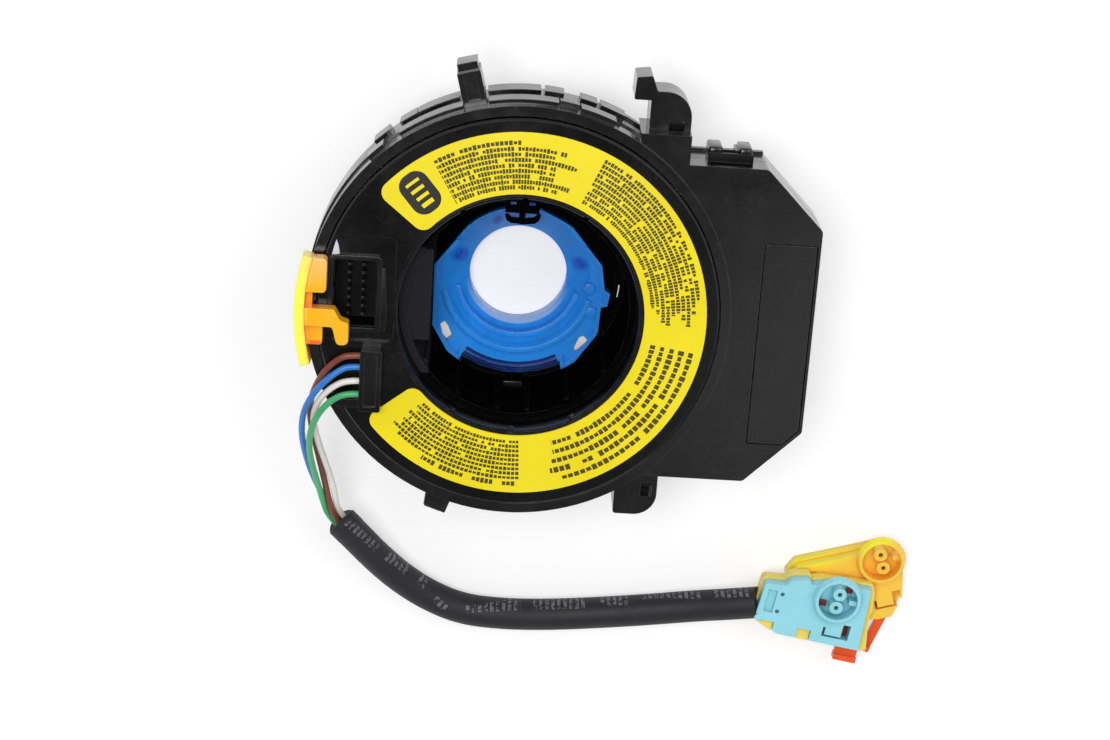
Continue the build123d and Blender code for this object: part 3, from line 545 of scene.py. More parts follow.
@dataclass(frozen=True)
class LabelFinish(Finish):
    """Yellow label film with dark rows of print and one dark pill."""

    ink: Colour = srgb(78, 68, 18)
    pill_ink: Colour = srgb(34, 33, 26)
    blocks: tuple[PrintBlock, ...] = ()
    pill_radius: float = 41.0
    pill_angle: float = 130.5
    pill_length: float = 11.5
    pill_width: float = 8.0
    pill_bars: PrintBlock = PrintBlock(36.7, 45.3, 4, 127.9, 133.1, 164.0, 1.0, 0.6, 0.0)
    pill_round: float = 0.42
    film_shade: float = 0.93
    film_noise: Pair = (45.0, 3.0)
    film_span: Pair = (0.35, 0.65)

    def base(self, paint: Paint) -> Signal:
        """The film's yellow with its print.

        Args:
            paint: the material's graph.

        Returns:
            The colour.
        """
        tone = paint.span(paint.noise(paint.place, *self.film_noise), *self.film_span)
        film = paint.mix(tone, self.shade(self.film_shade), self.colour)
        pill = paint.group(
            paint.effects.pill, Vector=paint.place, Radius=self.pill_radius * MM, Angle=math.radians(self.pill_angle),
            Half_length=self.pill_length * MM / 2, Half_width=self.pill_width * MM / 2,
            Corner=self.pill_width * MM * self.pill_round)["Mask"]
        ink = paint.union(self.rows(paint, block) for block in self.blocks)
        printed = paint.mix(pill, paint.mix(ink, film, self.ink), self.pill_ink)
        return paint.mix(self.rows(paint, self.pill_bars), printed, film)

    @staticmethod
    def rows(paint: Paint, block: PrintBlock) -> Signal:
        """Mask of one block of print.

        Args:
            paint: the material's graph.
            block: where the rows lie.

        Returns:
            1 on the print, 0 beside it.
        """
        middle = (block.inner + block.outer) / 2
        return paint.group(
            paint.effects.rows, Vector=paint.place, Inner=block.inner * MM, Outer=block.outer * MM,
            Rows=float(block.rows), From=math.radians(block.start), To=math.radians(block.end),
            Pitch=block.pitch / middle, Fill=block.fill, Weight=block.weight,
            Ragged=math.radians(block.ragged))["Mask"]


@dataclass(frozen=True)
class CamFinish(Finish):
    """Blue moulding with soft darker patches of painted shade in the cup; millimetres."""

    # soft patches of painted shade in the cup: across, along and reach
    shade_spots: tuple[Point, ...] = (
        (-15.9, 5.3, 2.8), (16.2, 4.4, 2.9), (-2.3, 20.3, 2.0), (2.9, 19.8, 2.0), (-6.5, 15.6, 2.2))
    cup_shade_colour: Colour = srgb(0, 82, 206)
    # painted highlight on the lower side of the lip round the bore
    bore_radius: float = 13.3
    pale_width: float = 1.0
    pale_light_colour: Colour = srgb(176, 206, 255)
    # painted light: the flange beyond this radius is made lighter
    band_radius: float = 19.8
    flange_light_colour: Colour = srgb(34, 154, 255)
    # painted shade: the skirt beyond this radius, between the lobes, is darkened
    skirt_radius: float = 23.5
    skirt_middle: float = -92.0
    skirt_reach: float = 30.5
    skirt_shade_colour: Colour = srgb(8, 38, 100)
    # painted shade along lines round the cup's slope, lower side only: middle radius, reach and strength
    groove_shade_rings: tuple[Point, ...] = ((15.6, 0.5, 0.5), (18.7, 0.45, 0.35), (21.4, 0.35, 0.3))
    mottle: float = 0.8
    cloud_noise: Point = (130.0, 3.0, 0.6)
    cloud_span: Pair = (0.3, 0.7)
    band_fade: float = 1.5
    flange_light_share: float = 0.6
    spot_core: float = 0.45
    spot_wander: float = 0.5
    spot_share: float = 0.85
    pale_fade: float = 0.15
    pale_y: Pair = (-2.0, -11.0)
    pale_share: float = 0.85
    skirt_fade: float = 0.1

    def base(self, paint: Paint) -> Signal:
        """Blue with soft patches of painted shade in the cup, painted shade along lines round its slope, a flange made
        lighter with painted light, a painted highlight on the lip and a skirt darkened with painted shade.

        Args:
            paint: the material's graph.

        Returns:
            The colour.
        """
        flat = paint.flat()
        across, along, _ = paint.split(paint.place)
        radius = paint.vector("LENGTH", flat)
        cloud = paint.noise(paint.place, *self.cloud_noise)
        below = paint.span(along, *metres(self.pale_y))

        mottled = paint.mix(paint.span(cloud, *self.cloud_span), self.shade(self.mottle), self.colour)
        # painted light that makes the flange lighter
        flange_light = paint.span(radius, (self.band_radius - self.band_fade) * MM, self.band_radius * MM)
        colour = paint.mix(flange_light * self.flange_light_share, mottled, self.flange_light_colour)

        # soft patches of painted shade in the cup
        wander = paint.span(cloud, *self.cloud_span, -self.spot_wander * MM, self.spot_wander * MM)
        shade_spots = paint.union(
            paint.span(paint.vector("DISTANCE", flat, (*metres((spot_x, spot_y)), 0.0)) + wander,
                       self.spot_core * reach * MM, reach * MM, 1.0, 0.0)
            for spot_x, spot_y, reach in self.shade_spots)
        colour = paint.mix(shade_spots * self.spot_share, colour, self.cup_shade_colour)

        # painted highlight on the lower side of the lip
        lip, fade = metres((self.bore_radius + self.pale_width, self.pale_fade))
        near = paint.span(radius, lip - fade, lip + fade, 1.0, 0.0)
        colour = paint.mix(near * below * self.pale_share, colour, self.pale_light_colour)

        # painted shade along lines round the slope, on the lower side only
        groove_shade = paint.union(
            paint.span(abs(radius - middle * MM), 0.0, reach * MM, depth, 0.0)
            for middle, reach, depth in self.groove_shade_rings)
        colour = paint.mix(groove_shade * below, colour, self.cup_shade_colour)

        # painted shade on the skirt between the lobes
        aside = abs(paint.math("ARCTAN2", along, across) - math.radians(self.skirt_middle))
        outer = paint.span(
            radius, (self.skirt_radius - self.skirt_fade) * MM, (self.skirt_radius + self.skirt_fade) * MM)
        return paint.mix((aside < math.radians(self.skirt_reach)) * outer, colour, self.skirt_shade_colour)


@dataclass(frozen=True)
class TubeFinish(Finish):
    """Soft black tube with worn marks of grey print along it; millimetres."""

    marks: tuple[tuple[float, float, float, float], ...] = (
        (-43.0, -69.8, -34.4, -79.8), (-31.8, -82.4, -26.0, -87.8), (-22.5, -90.4, -20.5, -92.3),
        (-17.8, -96.0, -14.5, -99.0), (-8.8, -99.1, 6.6, -97.8), (10.3, -97.5, 25.5, -96.2),
        (29.4, -95.2, 37.1, -94.6), (41.2, -93.0, 57.5, -90.8), (61.3, -89.7, 70.5, -87.5))
    mark_colour: Colour = srgb(140, 140, 152)
    mark_pitch: float = 1.7
    mark_width: float = 2.0
    mark_fill: float = 0.6
    mark_share: float = 0.55
    worn_noise: Point = (900.0, 2.0, 0.6)
    worn_span: Pair = (0.42, 0.56)

    def base(self, paint: Paint) -> Signal:
        """The tube's black with dashes of grey.

        Args:
            paint: the material's graph.

        Returns:
            The colour.
        """
        flat = paint.flat()
        worn = paint.span(paint.noise(paint.place, *self.worn_noise), *self.worn_span)
        dashes = []
        for left, low, right, high in self.marks:
            start = Vector((left, low, 0.0)) * MM
            along = Vector((right, high, 0.0)) * MM - start
            length = along.length
            along.normalize()
            offset = paint.vector("SUBTRACT", flat, tuple(start))
            forth = paint.vector("DOT_PRODUCT", offset, tuple(along))
            aside = paint.vector("DOT_PRODUCT", offset, (-along.y, along.x, 0.0))
            dash = paint.math("FRACT", forth / (self.mark_pitch * MM)) < self.mark_fill
            dashes.append((forth > 0.0) * (forth < length) * dash * (abs(aside) < self.mark_width * MM / 2))
        return paint.mix(paint.union(dashes) * worn * self.mark_share, self.colour, self.mark_colour)


@dataclass(frozen=True)
class ClipFinish(Finish):
    """Clear yellow moulding that deepens to amber in its lugs; millimetres."""

    lug_colour: Colour = srgb(255, 186, 22)
    # painted light: the clip and its lugs pale towards the upper end
    pale_light_colour: Colour = srgb(255, 208, 132)
    pale_light_rim: Colour = srgb(255, 232, 118)
    pale_y: Pair = (5.5, 13.5)
    pale_share: float = 0.75
    # red-orange painted shade on the low inner walls and at the end
    deep_shade_colour: Colour = srgb(255, 84, 16)
    deep_z: Pair = (47.2, 46.5)
    deep_y: Pair = (-8.0, -8.8)
    deep_x: float = -49.3
    deep_share: float = 0.85
    wall_x: float = -51.8
    lug_radius: float = 53.6
    rim_radius: float = 55.4
    rim_wander: float = 0.4
    cloud_noise: Pair = (220.0, 2.0)
    cloud_span: Pair = (0.3, 0.7)

    def base(self, paint: Paint) -> Signal:
        """Yellow at the rim, amber towards the column, red-orange painted shade on the low inner walls and at the end,
        and painted light towards the upper end.

        Args:
            paint: the material's graph.

        Returns:
            The colour.
        """
        across, along, height = paint.split(paint.place)
        wander = self.rim_wander * MM
        cloud = paint.span(paint.noise(paint.place, *self.cloud_noise), *self.cloud_span, -wander, wander)
        radius = paint.vector("LENGTH", paint.flat()) + cloud
        rim = paint.span(radius, self.lug_radius * MM, self.rim_radius * MM)
        # painted light towards the upper end
        pale = paint.span(along, *metres(self.pale_y), 0.0, self.pale_share)
        # painted shade on the low inner walls and at the end
        low = paint.span(height, *metres(self.deep_z)) * (across < self.wall_x * MM)
        end = paint.span(along, *metres(self.deep_y)) * (across < self.deep_x * MM)
        deep_shade = paint.union((low, end)) * self.deep_share
        lug = paint.mix(deep_shade, paint.mix(pale, self.lug_colour, self.pale_light_colour), self.deep_shade_colour)
        return paint.mix(rim, lug, paint.mix(pale, self.colour, self.pale_light_rim))


@dataclass(frozen=True)
class ShellFinish(Finish):
    """Amber shell that pales to yellow along its upper side; millimetres."""

    edge_colour: Colour = srgb(255, 243, 40)
    across: Pair = (0.420, -0.908)
    fade: Pair = (109.4, 113.2)

    def base(self, paint: Paint) -> Signal:
        """Yellow at the upper side, amber below."""
        down = paint.vector("DOT_PRODUCT", paint.place, (*self.across, 0.0))
        return paint.mix(paint.span(down, *metres(self.fade)), self.edge_colour, self.colour)


@dataclass(frozen=True)
class SleeveFinish(Finish):
    """Dead black moulding with painted light making a flat on one side paler; millimetres."""

    # painted light on the flat
    flat_light_colour: Colour = srgb(39, 39, 41)
    flat_x: float = -22.4
    flat_y: Pair = (-19.0, 15.0)

    def base(self, paint: Paint) -> Signal:
        """Black, with painted light making the flat paler.

        Args:
            paint: the material's graph.

        Returns:
            The colour.
        """
        across, along, _ = paint.split(paint.place)
        low, high = metres(self.flat_y)
        # the flat that gets the painted light
        flat = (across < self.flat_x * MM) * (along > low) * (along < high)
        return paint.mix(flat, self.colour, self.flat_light_colour)


MOULDING = {"grain": 0.42, "depth": 0.003, "speckle": 0.1, "tone": 0.04}
METAL = {"metallic": 1.0, "tone": 0.1, "depth": 0.001, "edge": 0.08, "wear_and_glint": 0.0}
WIRE_SKIN = {"grain": 0.7, "depth": 0.003, "edge": 0.05}

# Where a finish below has a colour for corners and recesses, that colour is painted shade.
HOUSING = Finish(
    "black moulded housing", srgb(11, 11, 12), roughness=0.17, wear_and_glint=0.2, dust=0.04,
    wear_and_glint_colour=srgb(130, 130, 132), specular=0.65, **MOULDING)
PANEL = Finish(
    "black moulded panel", srgb(12, 12, 13), roughness=0.16, wear_and_glint=0.3, dust=0.04,
    wear_and_glint_colour=srgb(140, 140, 142), specular=0.65, **MOULDING)
ROTOR = Finish(
    "black moulded rotor", srgb(6, 6, 6), roughness=0.2, wear_and_glint=0.25, dust=0.03,
    wear_and_glint_colour=srgb(120, 120, 122), specular=0.35, **MOULDING)
SLEEVE = SleeveFinish(
    "black slick sleeve", srgb(5, 5, 5), roughness=0.72, grain=0.6, depth=0.003, speckle=0.05, wear_and_glint=0.2,
    dust=0.02, wear_and_glint_colour=srgb(110, 112, 118), specular=0.0)
SOCKET = Finish(
    "black socket moulding", srgb(6, 6, 7), roughness=0.28, depth=0.004, speckle=0.12, wear_and_glint=0.3, dust=0.03,
    wear_and_glint_colour=srgb(130, 130, 132), specular=0.4)
WELL = Finish(
    "black socket well", srgb(3, 3, 3), roughness=0.55, depth=0.004, speckle=0.1, wear_and_glint=0.25, dust=0.02,
    wear_and_glint_colour=srgb(110, 110, 112), specular=0.15)
# a pale colour that stands for a glint: a painted highlight
GLINT_FACET = Finish("pale painted glint", srgb(196, 196, 206), roughness=0.35, tone=0.1, depth=0.002, wear_and_glint=0.0, dust=0.02)
BLUE_CAM = CamFinish(
    "blue slick cam", srgb(46, 158, 255), roughness=0.26, tone=0.16, grain=0.8, depth=0.004, wear_and_glint=0.45,
    dust=0.02, wear_and_glint_colour=srgb(150, 208, 254), hollow_shade_colour=srgb(8, 92, 214), hollow_shade=0.9, reach=1.2,
    subsurface=0.3)
# the cam's blue darkened as painted shade, for the web that sits in a recess behind the hook
SHADED_CAM_BLUE = Finish(
    "cam web in painted shade", srgb(10, 58, 150), roughness=0.35, tone=0.2, grain=0.8, depth=0.004, wear_and_glint=0.3, dust=0.02,
    wear_and_glint_colour=srgb(40, 100, 200))
CLIP = ClipFinish(
    "yellow clear clip", srgb(255, 254, 92), roughness=0.26, tone=0.04, depth=0.003, wear_and_glint=0.3, dust=0.03,
    wear_and_glint_colour=srgb(255, 246, 170), hollow_shade_colour=srgb(236, 96, 12), hollow_shade=1.3, reach=4.0, subsurface=0.3,
    coat=0.3)
TEAL = Finish(
    "pale teal cover", srgb(153, 222, 235), roughness=0.36, tone=0.05, depth=0.003, dust=0.05,
    wear_and_glint_colour=srgb(225, 245, 246), hollow_shade_colour=srgb(58, 146, 160), hollow_shade=0.7, reach=2.5, subsurface=0.15)
CREAM = Finish(
    "pale yellow base", srgb(248, 222, 104), roughness=0.38, tone=0.05, depth=0.003, dust=0.05,
    wear_and_glint_colour=srgb(252, 246, 200), hollow_shade_colour=srgb(206, 160, 50), hollow_shade=0.6, reach=2.5, subsurface=0.15)
AMBER = ShellFinish(
    "amber plug shell", srgb(255, 208, 74), roughness=0.34, tone=0.05, depth=0.003, dust=0.03,
    wear_and_glint_colour=srgb(255, 244, 160), hollow_shade_colour=srgb(244, 140, 20), hollow_shade=0.8, reach=2.6, subsurface=0.2)
RED = Finish(
    "red-orange lock", srgb(240, 88, 30), roughness=0.34, tone=0.08, depth=0.003, dust=0.03,
    wear_and_glint_colour=srgb(246, 150, 110), hollow_shade_colour=srgb(140, 30, 14), hollow_shade=0.6, reach=2.0)
SEAL = Finish("dark red seal", srgb(120, 34, 30), roughness=0.4, tone=0.15, depth=0.003, wear_and_glint=0.1, dust=0.02)
PINS = Finish("tinned brass pins", (0.2, 0.19, 0.17), roughness=0.45, dust=0.05, **METAL)
# the pins' brass darkened as painted shade, for pins set deep in the switch socket
SHADED_PINS = Finish("brass pins in painted shade", (0.05, 0.046, 0.038), roughness=0.5, dust=0.03, **METAL)
FILM = Finish("ribbon film", srgb(196, 160, 96), roughness=0.3, tone=0.1, dust=0.1, edge=0.05, wear_and_glint=0.0)
SHEET = Finish("slip sheet", srgb(214, 214, 208), roughness=0.55, tone=0.05, dust=0.2, edge=0.05, wear_and_glint=0.0)
TUBE = TubeFinish(
    "black soft tube", srgb(34, 34, 37), roughness=0.56, grain=0.9, depth=0.008, speckle=0.15, wear_and_glint=0.0,
    dust=0.05, specular=0.35)
BROWN = Finish("brown wire skin", srgb(124, 62, 44), roughness=0.38, **WIRE_SKIN)
BLUE = Finish("blue wire skin", srgb(36, 122, 206), roughness=0.36, **WIRE_SKIN)
WHITE = Finish("white wire skin", srgb(232, 230, 222), roughness=0.36, **WIRE_SKIN)
GREEN = Finish("green wire skin", srgb(66, 172, 108), roughness=0.36, **WIRE_SKIN)
LABEL = LabelFinish(
    "yellow printed label", srgb(243, 223, 14), roughness=0.34, grain=1.2, depth=0.002, edge=0.05, tone=0.04,
    wear_and_glint=0.15, wear_and_glint_colour=srgb(255, 240, 170), dust=0.05, coat=0.25,
    blocks=(
        PrintBlock(44.95, 46.4, 1, 92.5, 121.0, 1.15, 0.94, 0.9, 0.0),
        PrintBlock(33.5, 44.8, 8, 72.0, 121.0, 0.8, 0.9, 0.86, 9.0),
        PrintBlock(33.9, 47.0, 10, -1.0, 65.5, 0.8, 0.9, 0.86, 10.0),
        PrintBlock(34.3, 46.9, 5, -82.0, -8.8, 1.5, 0.95, 0.62, 12.0),
        PrintBlock(33.6, 44.9, 9, -136.0, -86.2, 1.0, 0.94, 0.82, 5.0),
        PrintBlock(45.1, 46.7, 1, -120.0, -87.5, 1.15, 0.92, 0.9, 0.0),
    ),
)


def alone(piece: Piece) -> None:
    """Makes a piece the only selected and active one."""
    bpy.ops.object.select_all(action="DESELECT")
    piece.select_set(True)
    bpy.context.view_layer.objects.active = piece


@contextmanager
def editing(piece: Piece) -> Iterator[None]:
    """Edit mode on one piece, with all of it selected.

    Args:
        piece: the piece that is edited.

    Yields:
        Nothing, for as long as edit mode lasts.
    """
    alone(piece)
    bpy.ops.object.mode_set(mode="EDIT")
    bpy.ops.mesh.select_all(action="SELECT")
    yield
    bpy.ops.object.mode_set(mode="OBJECT")


def primitive(add: Callable[..., set[str]], **settings: object) -> Piece:
    """Starts a piece from a primitive at the origin.

    Args:
        add: the operator that adds it.
        settings: the operator's settings.

    Returns:
        The new piece.
    """
    bpy.ops.object.select_all(action="DESELECT")
    add(location=(0.0, 0.0, 0.0), **settings)
    return bpy.context.active_object


def modify(piece: Piece, kind: str, **settings: object) -> None:
    """Adds a modifier to a piece and applies it.

    Args:
        piece: the piece.
        kind: the modifier's type.
        settings: properties set on it.
    """
    alone(piece)
    modifier = piece.modifiers.new(kind.lower(), kind)
    for name, value in settings.items():
        setattr(modifier, name, value)
    bpy.ops.object.modifier_apply(modifier=modifier.name)


def wear_finish(piece: Piece, material: bpy.types.Material) -> None:
    """Gives a piece one material all over."""
    piece.data.materials.clear()
    piece.data.materials.append(material)


@dataclass
class SubAssembly:
    """Pieces that are built and dressed together. Lengths in millimetres, angles in degrees."""

    effects: Effects
    smooth_angle: float = 32.0
    flat_angle: float = 0.6
    merge_gap: float = 0.002
    weld_gap: float = 0.001
    round_segments: int = 3
    bar_sides: int = 32
    pieces: list[Piece] = field(default_factory=list)

    def smooth(self, piece: Piece) -> None:
        """Shades a piece smooth up to the angle of a real edge."""
        alone(piece)
        bpy.ops.object.shade_smooth_by_angle(angle=math.radians(self.smooth_angle))

    def smooth_copy(self, node: str, slot: str, finish: Finish) -> Piece:
        """Makes a merged, smooth-shaded copy of a solid that stands for it.

        Args:
            node: the solid's name.
            slot: its material slot.
            finish: its finish.

        Returns:
            The copy.
        """
        piece = bpy.data.objects.new(f"{node}_skin", frame["nodes"][node].data.copy())
        bpy.context.scene.collection.objects.link(piece)
        alone(piece)
        if piece.data.has_custom_normals:
            bpy.ops.mesh.customdata_custom_splitnormals_clear()
        with editing(piece):
            bpy.ops.mesh.remove_doubles(threshold=self.merge_gap * MM)
            bpy.ops.mesh.dissolve_limited(angle_limit=math.radians(self.flat_angle))
            bpy.ops.mesh.quads_convert_to_tris()
        self.smooth(piece)
        wear_finish(piece, finish.material(self.effects))
        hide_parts(node)
        self.keep(piece, BODY_OF[node], slot)
        return piece

    def finish_piece(self, piece: Piece, name: str, finish: Finish, node: str, slot: str,
                     rounding: float = 0.0) -> None:
        """Rounds, shades, dresses and keeps a modelled piece.

        Args:
            piece: the new piece, in place.
            name: its name.
            finish: its finish.
            node: the solid whose body it rides on.
            slot: its material slot.
            rounding: edge radius in millimetres.
        """
        piece.name = name
        with editing(piece):
            bpy.ops.mesh.remove_doubles(threshold=self.weld_gap * MM)
            bpy.ops.mesh.normals_make_consistent(inside=False)
        if rounding:
            modify(piece, "BEVEL", width=rounding * MM, segments=self.round_segments, limit_method="ANGLE")
        self.smooth(piece)
        wear_finish(piece, finish.material(self.effects))
        self.keep(piece, BODY_OF[node], slot)

    def swept(self, radii: Pair, heights: Pair, angles: Pair, steps: int = 24) -> Piece:
        """A rectangular section spun round the column.

        Args:
            radii: inner and outer radius in millimetres.
            heights: lowest and highest point in millimetres.
            angles: first and last angle in degrees.
            steps: facets of the sweep.

        Returns:
            The solid.
        """
        piece = primitive(bpy.ops.mesh.primitive_plane_add, size=1.0)
        first = math.radians(angles[0])
        for vertex in piece.data.vertices:
            radius = radii[1] if vertex.co.x > 0 else radii[0]
            height = heights[1] if vertex.co.y > 0 else heights[0]
            vertex.co = Vector((radius * math.cos(first), radius * math.sin(first), height)) * MM
        with editing(piece):
            bpy.ops.mesh.spin(
                steps=steps, angle=math.radians(angles[1] - angles[0]), center=(0.0, 0.0, 0.0), axis=(0.0, 0.0, -1.0))
        return piece

    def slab(self, place: Matrix, size: Point) -> Piece:
        """A block in a frame of its own.

        Args:
            place: the frame, in metres; the block's middle is at its origin.
            size: the block's sides in millimetres.

        Returns:
            The solid.
        """
        piece = primitive(bpy.ops.mesh.primitive_cube_add, size=1.0)
        for vertex in piece.data.vertices:
            vertex.co = Vector(part * side for part, side in zip(vertex.co, size)) * MM
        piece.data.transform(place)
        return piece

    def plate(self, outline: Outline, heights: Pair) -> Piece:
        """A flat plate with any outline.

        Args:
            outline: its corners in millimetres.
            heights: its lower and upper face in millimetres.

        Returns:
            The solid.
        """
        piece = primitive(
            bpy.ops.mesh.primitive_circle_add, vertices=len(outline), radius=1.0, fill_type="NGON")
        for vertex, (across, along) in zip(piece.data.vertices, outline):
            vertex.co = Vector((across, along, heights[0])) * MM
        with editing(piece):
            self.raise_all(heights)
        return piece

    def block(self, across: Pair, along: Pair, heights: Pair) -> Piece:
        """A block given by its ends on each axis, in millimetres."""
        ends = (across, along, heights)
        return self.slab(placed(*(sum(pair) / 2 for pair in ends)), tuple(high - low for low, high in ends))

    def round_bar(self, place: Matrix, radius: float, depth: float) -> Piece:
        """A short round bar in a frame of its own.

        Args:
            place: the frame, in metres; the bar's middle is at its origin.
            radius: its radius in millimetres.
            depth: its length in millimetres.

        Returns:
            The solid.
        """
        piece = primitive(
            bpy.ops.mesh.primitive_cylinder_add, vertices=self.bar_sides, radius=radius * MM, depth=depth * MM)
        piece.data.transform(place)
        return piece

    @staticmethod
    def raise_all(heights: Pair) -> None:
        """Extrudes what is selected upwards."""
        rise = (heights[1] - heights[0]) * MM
        bpy.ops.mesh.extrude_region_move(TRANSFORM_OT_translate={"value": (0.0, 0.0, rise)})

    def carve(self, piece: Piece, cutters: list[Piece]) -> None:
        """Cuts shapes out of a piece.

        Args:
            piece: the piece that stays.
            cutters: closed shapes taken away from it and then removed.
        """
        for cutter in cutters:
            with editing(cutter):
                bpy.ops.mesh.normals_make_consistent(inside=False)
            modify(piece, "BOOLEAN", operation="DIFFERENCE", solver="EXACT", object=cutter)
            bpy.data.objects.remove(cutter, do_unlink=True)
        self.smooth(piece)

    def dress_node(self, node: str, finish: Finish) -> None:
        """Gives a solid that stays its finish."""
        wear_finish(frame["nodes"][node], finish.material(self.effects))
        LOG.info("dressed %s", node)

    def keep(self, piece: Piece, body: str, slot: str) -> None:
        """Lets a piece ride on its body and adds it to the pieces.

        Args:
            piece: the finished piece.
            body: the body it moves with.
            slot: its material slot; not used.
        """
        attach(piece, body)
        self.pieces.append(piece)
        LOG.info("built %s on %s", piece.name, body)


@dataclass
class Housing(SubAssembly):
    """The still half: case, ring cover, box and the sockets behind. Lengths in millimetres."""

    arm_holes: tuple[tuple[Pair, Pair], ...] = (
        ((35.2, 39.2), (47.5, 51.9)), ((35.6, 38.6), (-50.6, -46.6)))
    arm_hole_z: Pair = (32.6, 37.6)
    tab_outline: Outline = (
        (-21.2, -49.6), (-21.93, -55.9), (-16.15, -58.07), (-14.1, -52.2))
    tab_z: Pair = (34.2, 38.12)
    lug_ends: tuple[Pair, ...] = ((46.1, 49.8), (53.9, 57.4))
    lug_y: Pair = (41.4, 45.1)
    lug_z: Pair = (25.0, 33.6)
    bar: tuple[Pair, Pair, Pair] = ((46.0, 57.5), (41.4, 43.9), (34.0, 35.9))

    def build(self) -> None:
        """Builds and dresses the still half."""
        self.smooth_copy("rear_case", "housing", HOUSING)
        cover = self.smooth_copy("front_cover", "housing", HOUSING)
        self.carve(cover, [self.block(*hole, self.arm_hole_z) for hole in self.arm_holes])
        for number, ends in enumerate(self.lug_ends):
            lug = self.block(ends, self.lug_y, self.lug_z)
            self.finish_piece(lug, f"snap_lug_{number}", HOUSING, "rear_case", "housing", rounding=0.7)
        self.finish_piece(self.block(*self.bar), "snap_bar", WELL, "front_cover", "housing", rounding=0.3)
        tab = self.plate(self.tab_outline, self.tab_z)
        self.finish_piece(tab, "lower_tab", HOUSING, "front_cover", "housing", rounding=0.35)
        self.smooth_copy("box_cover", "panel", PANEL)
        for side in ("main", "airbag"):
            self.smooth_copy(f"column_socket_{side}", "socket", SOCKET)
            self.dress_node(f"column_pins_{side}", PINS)
        self.dress_node("outer_lead_block", SOCKET)
        self.dress_node("ribbon_cable", FILM)
        self.dress_node("slip_sheet", SHEET)


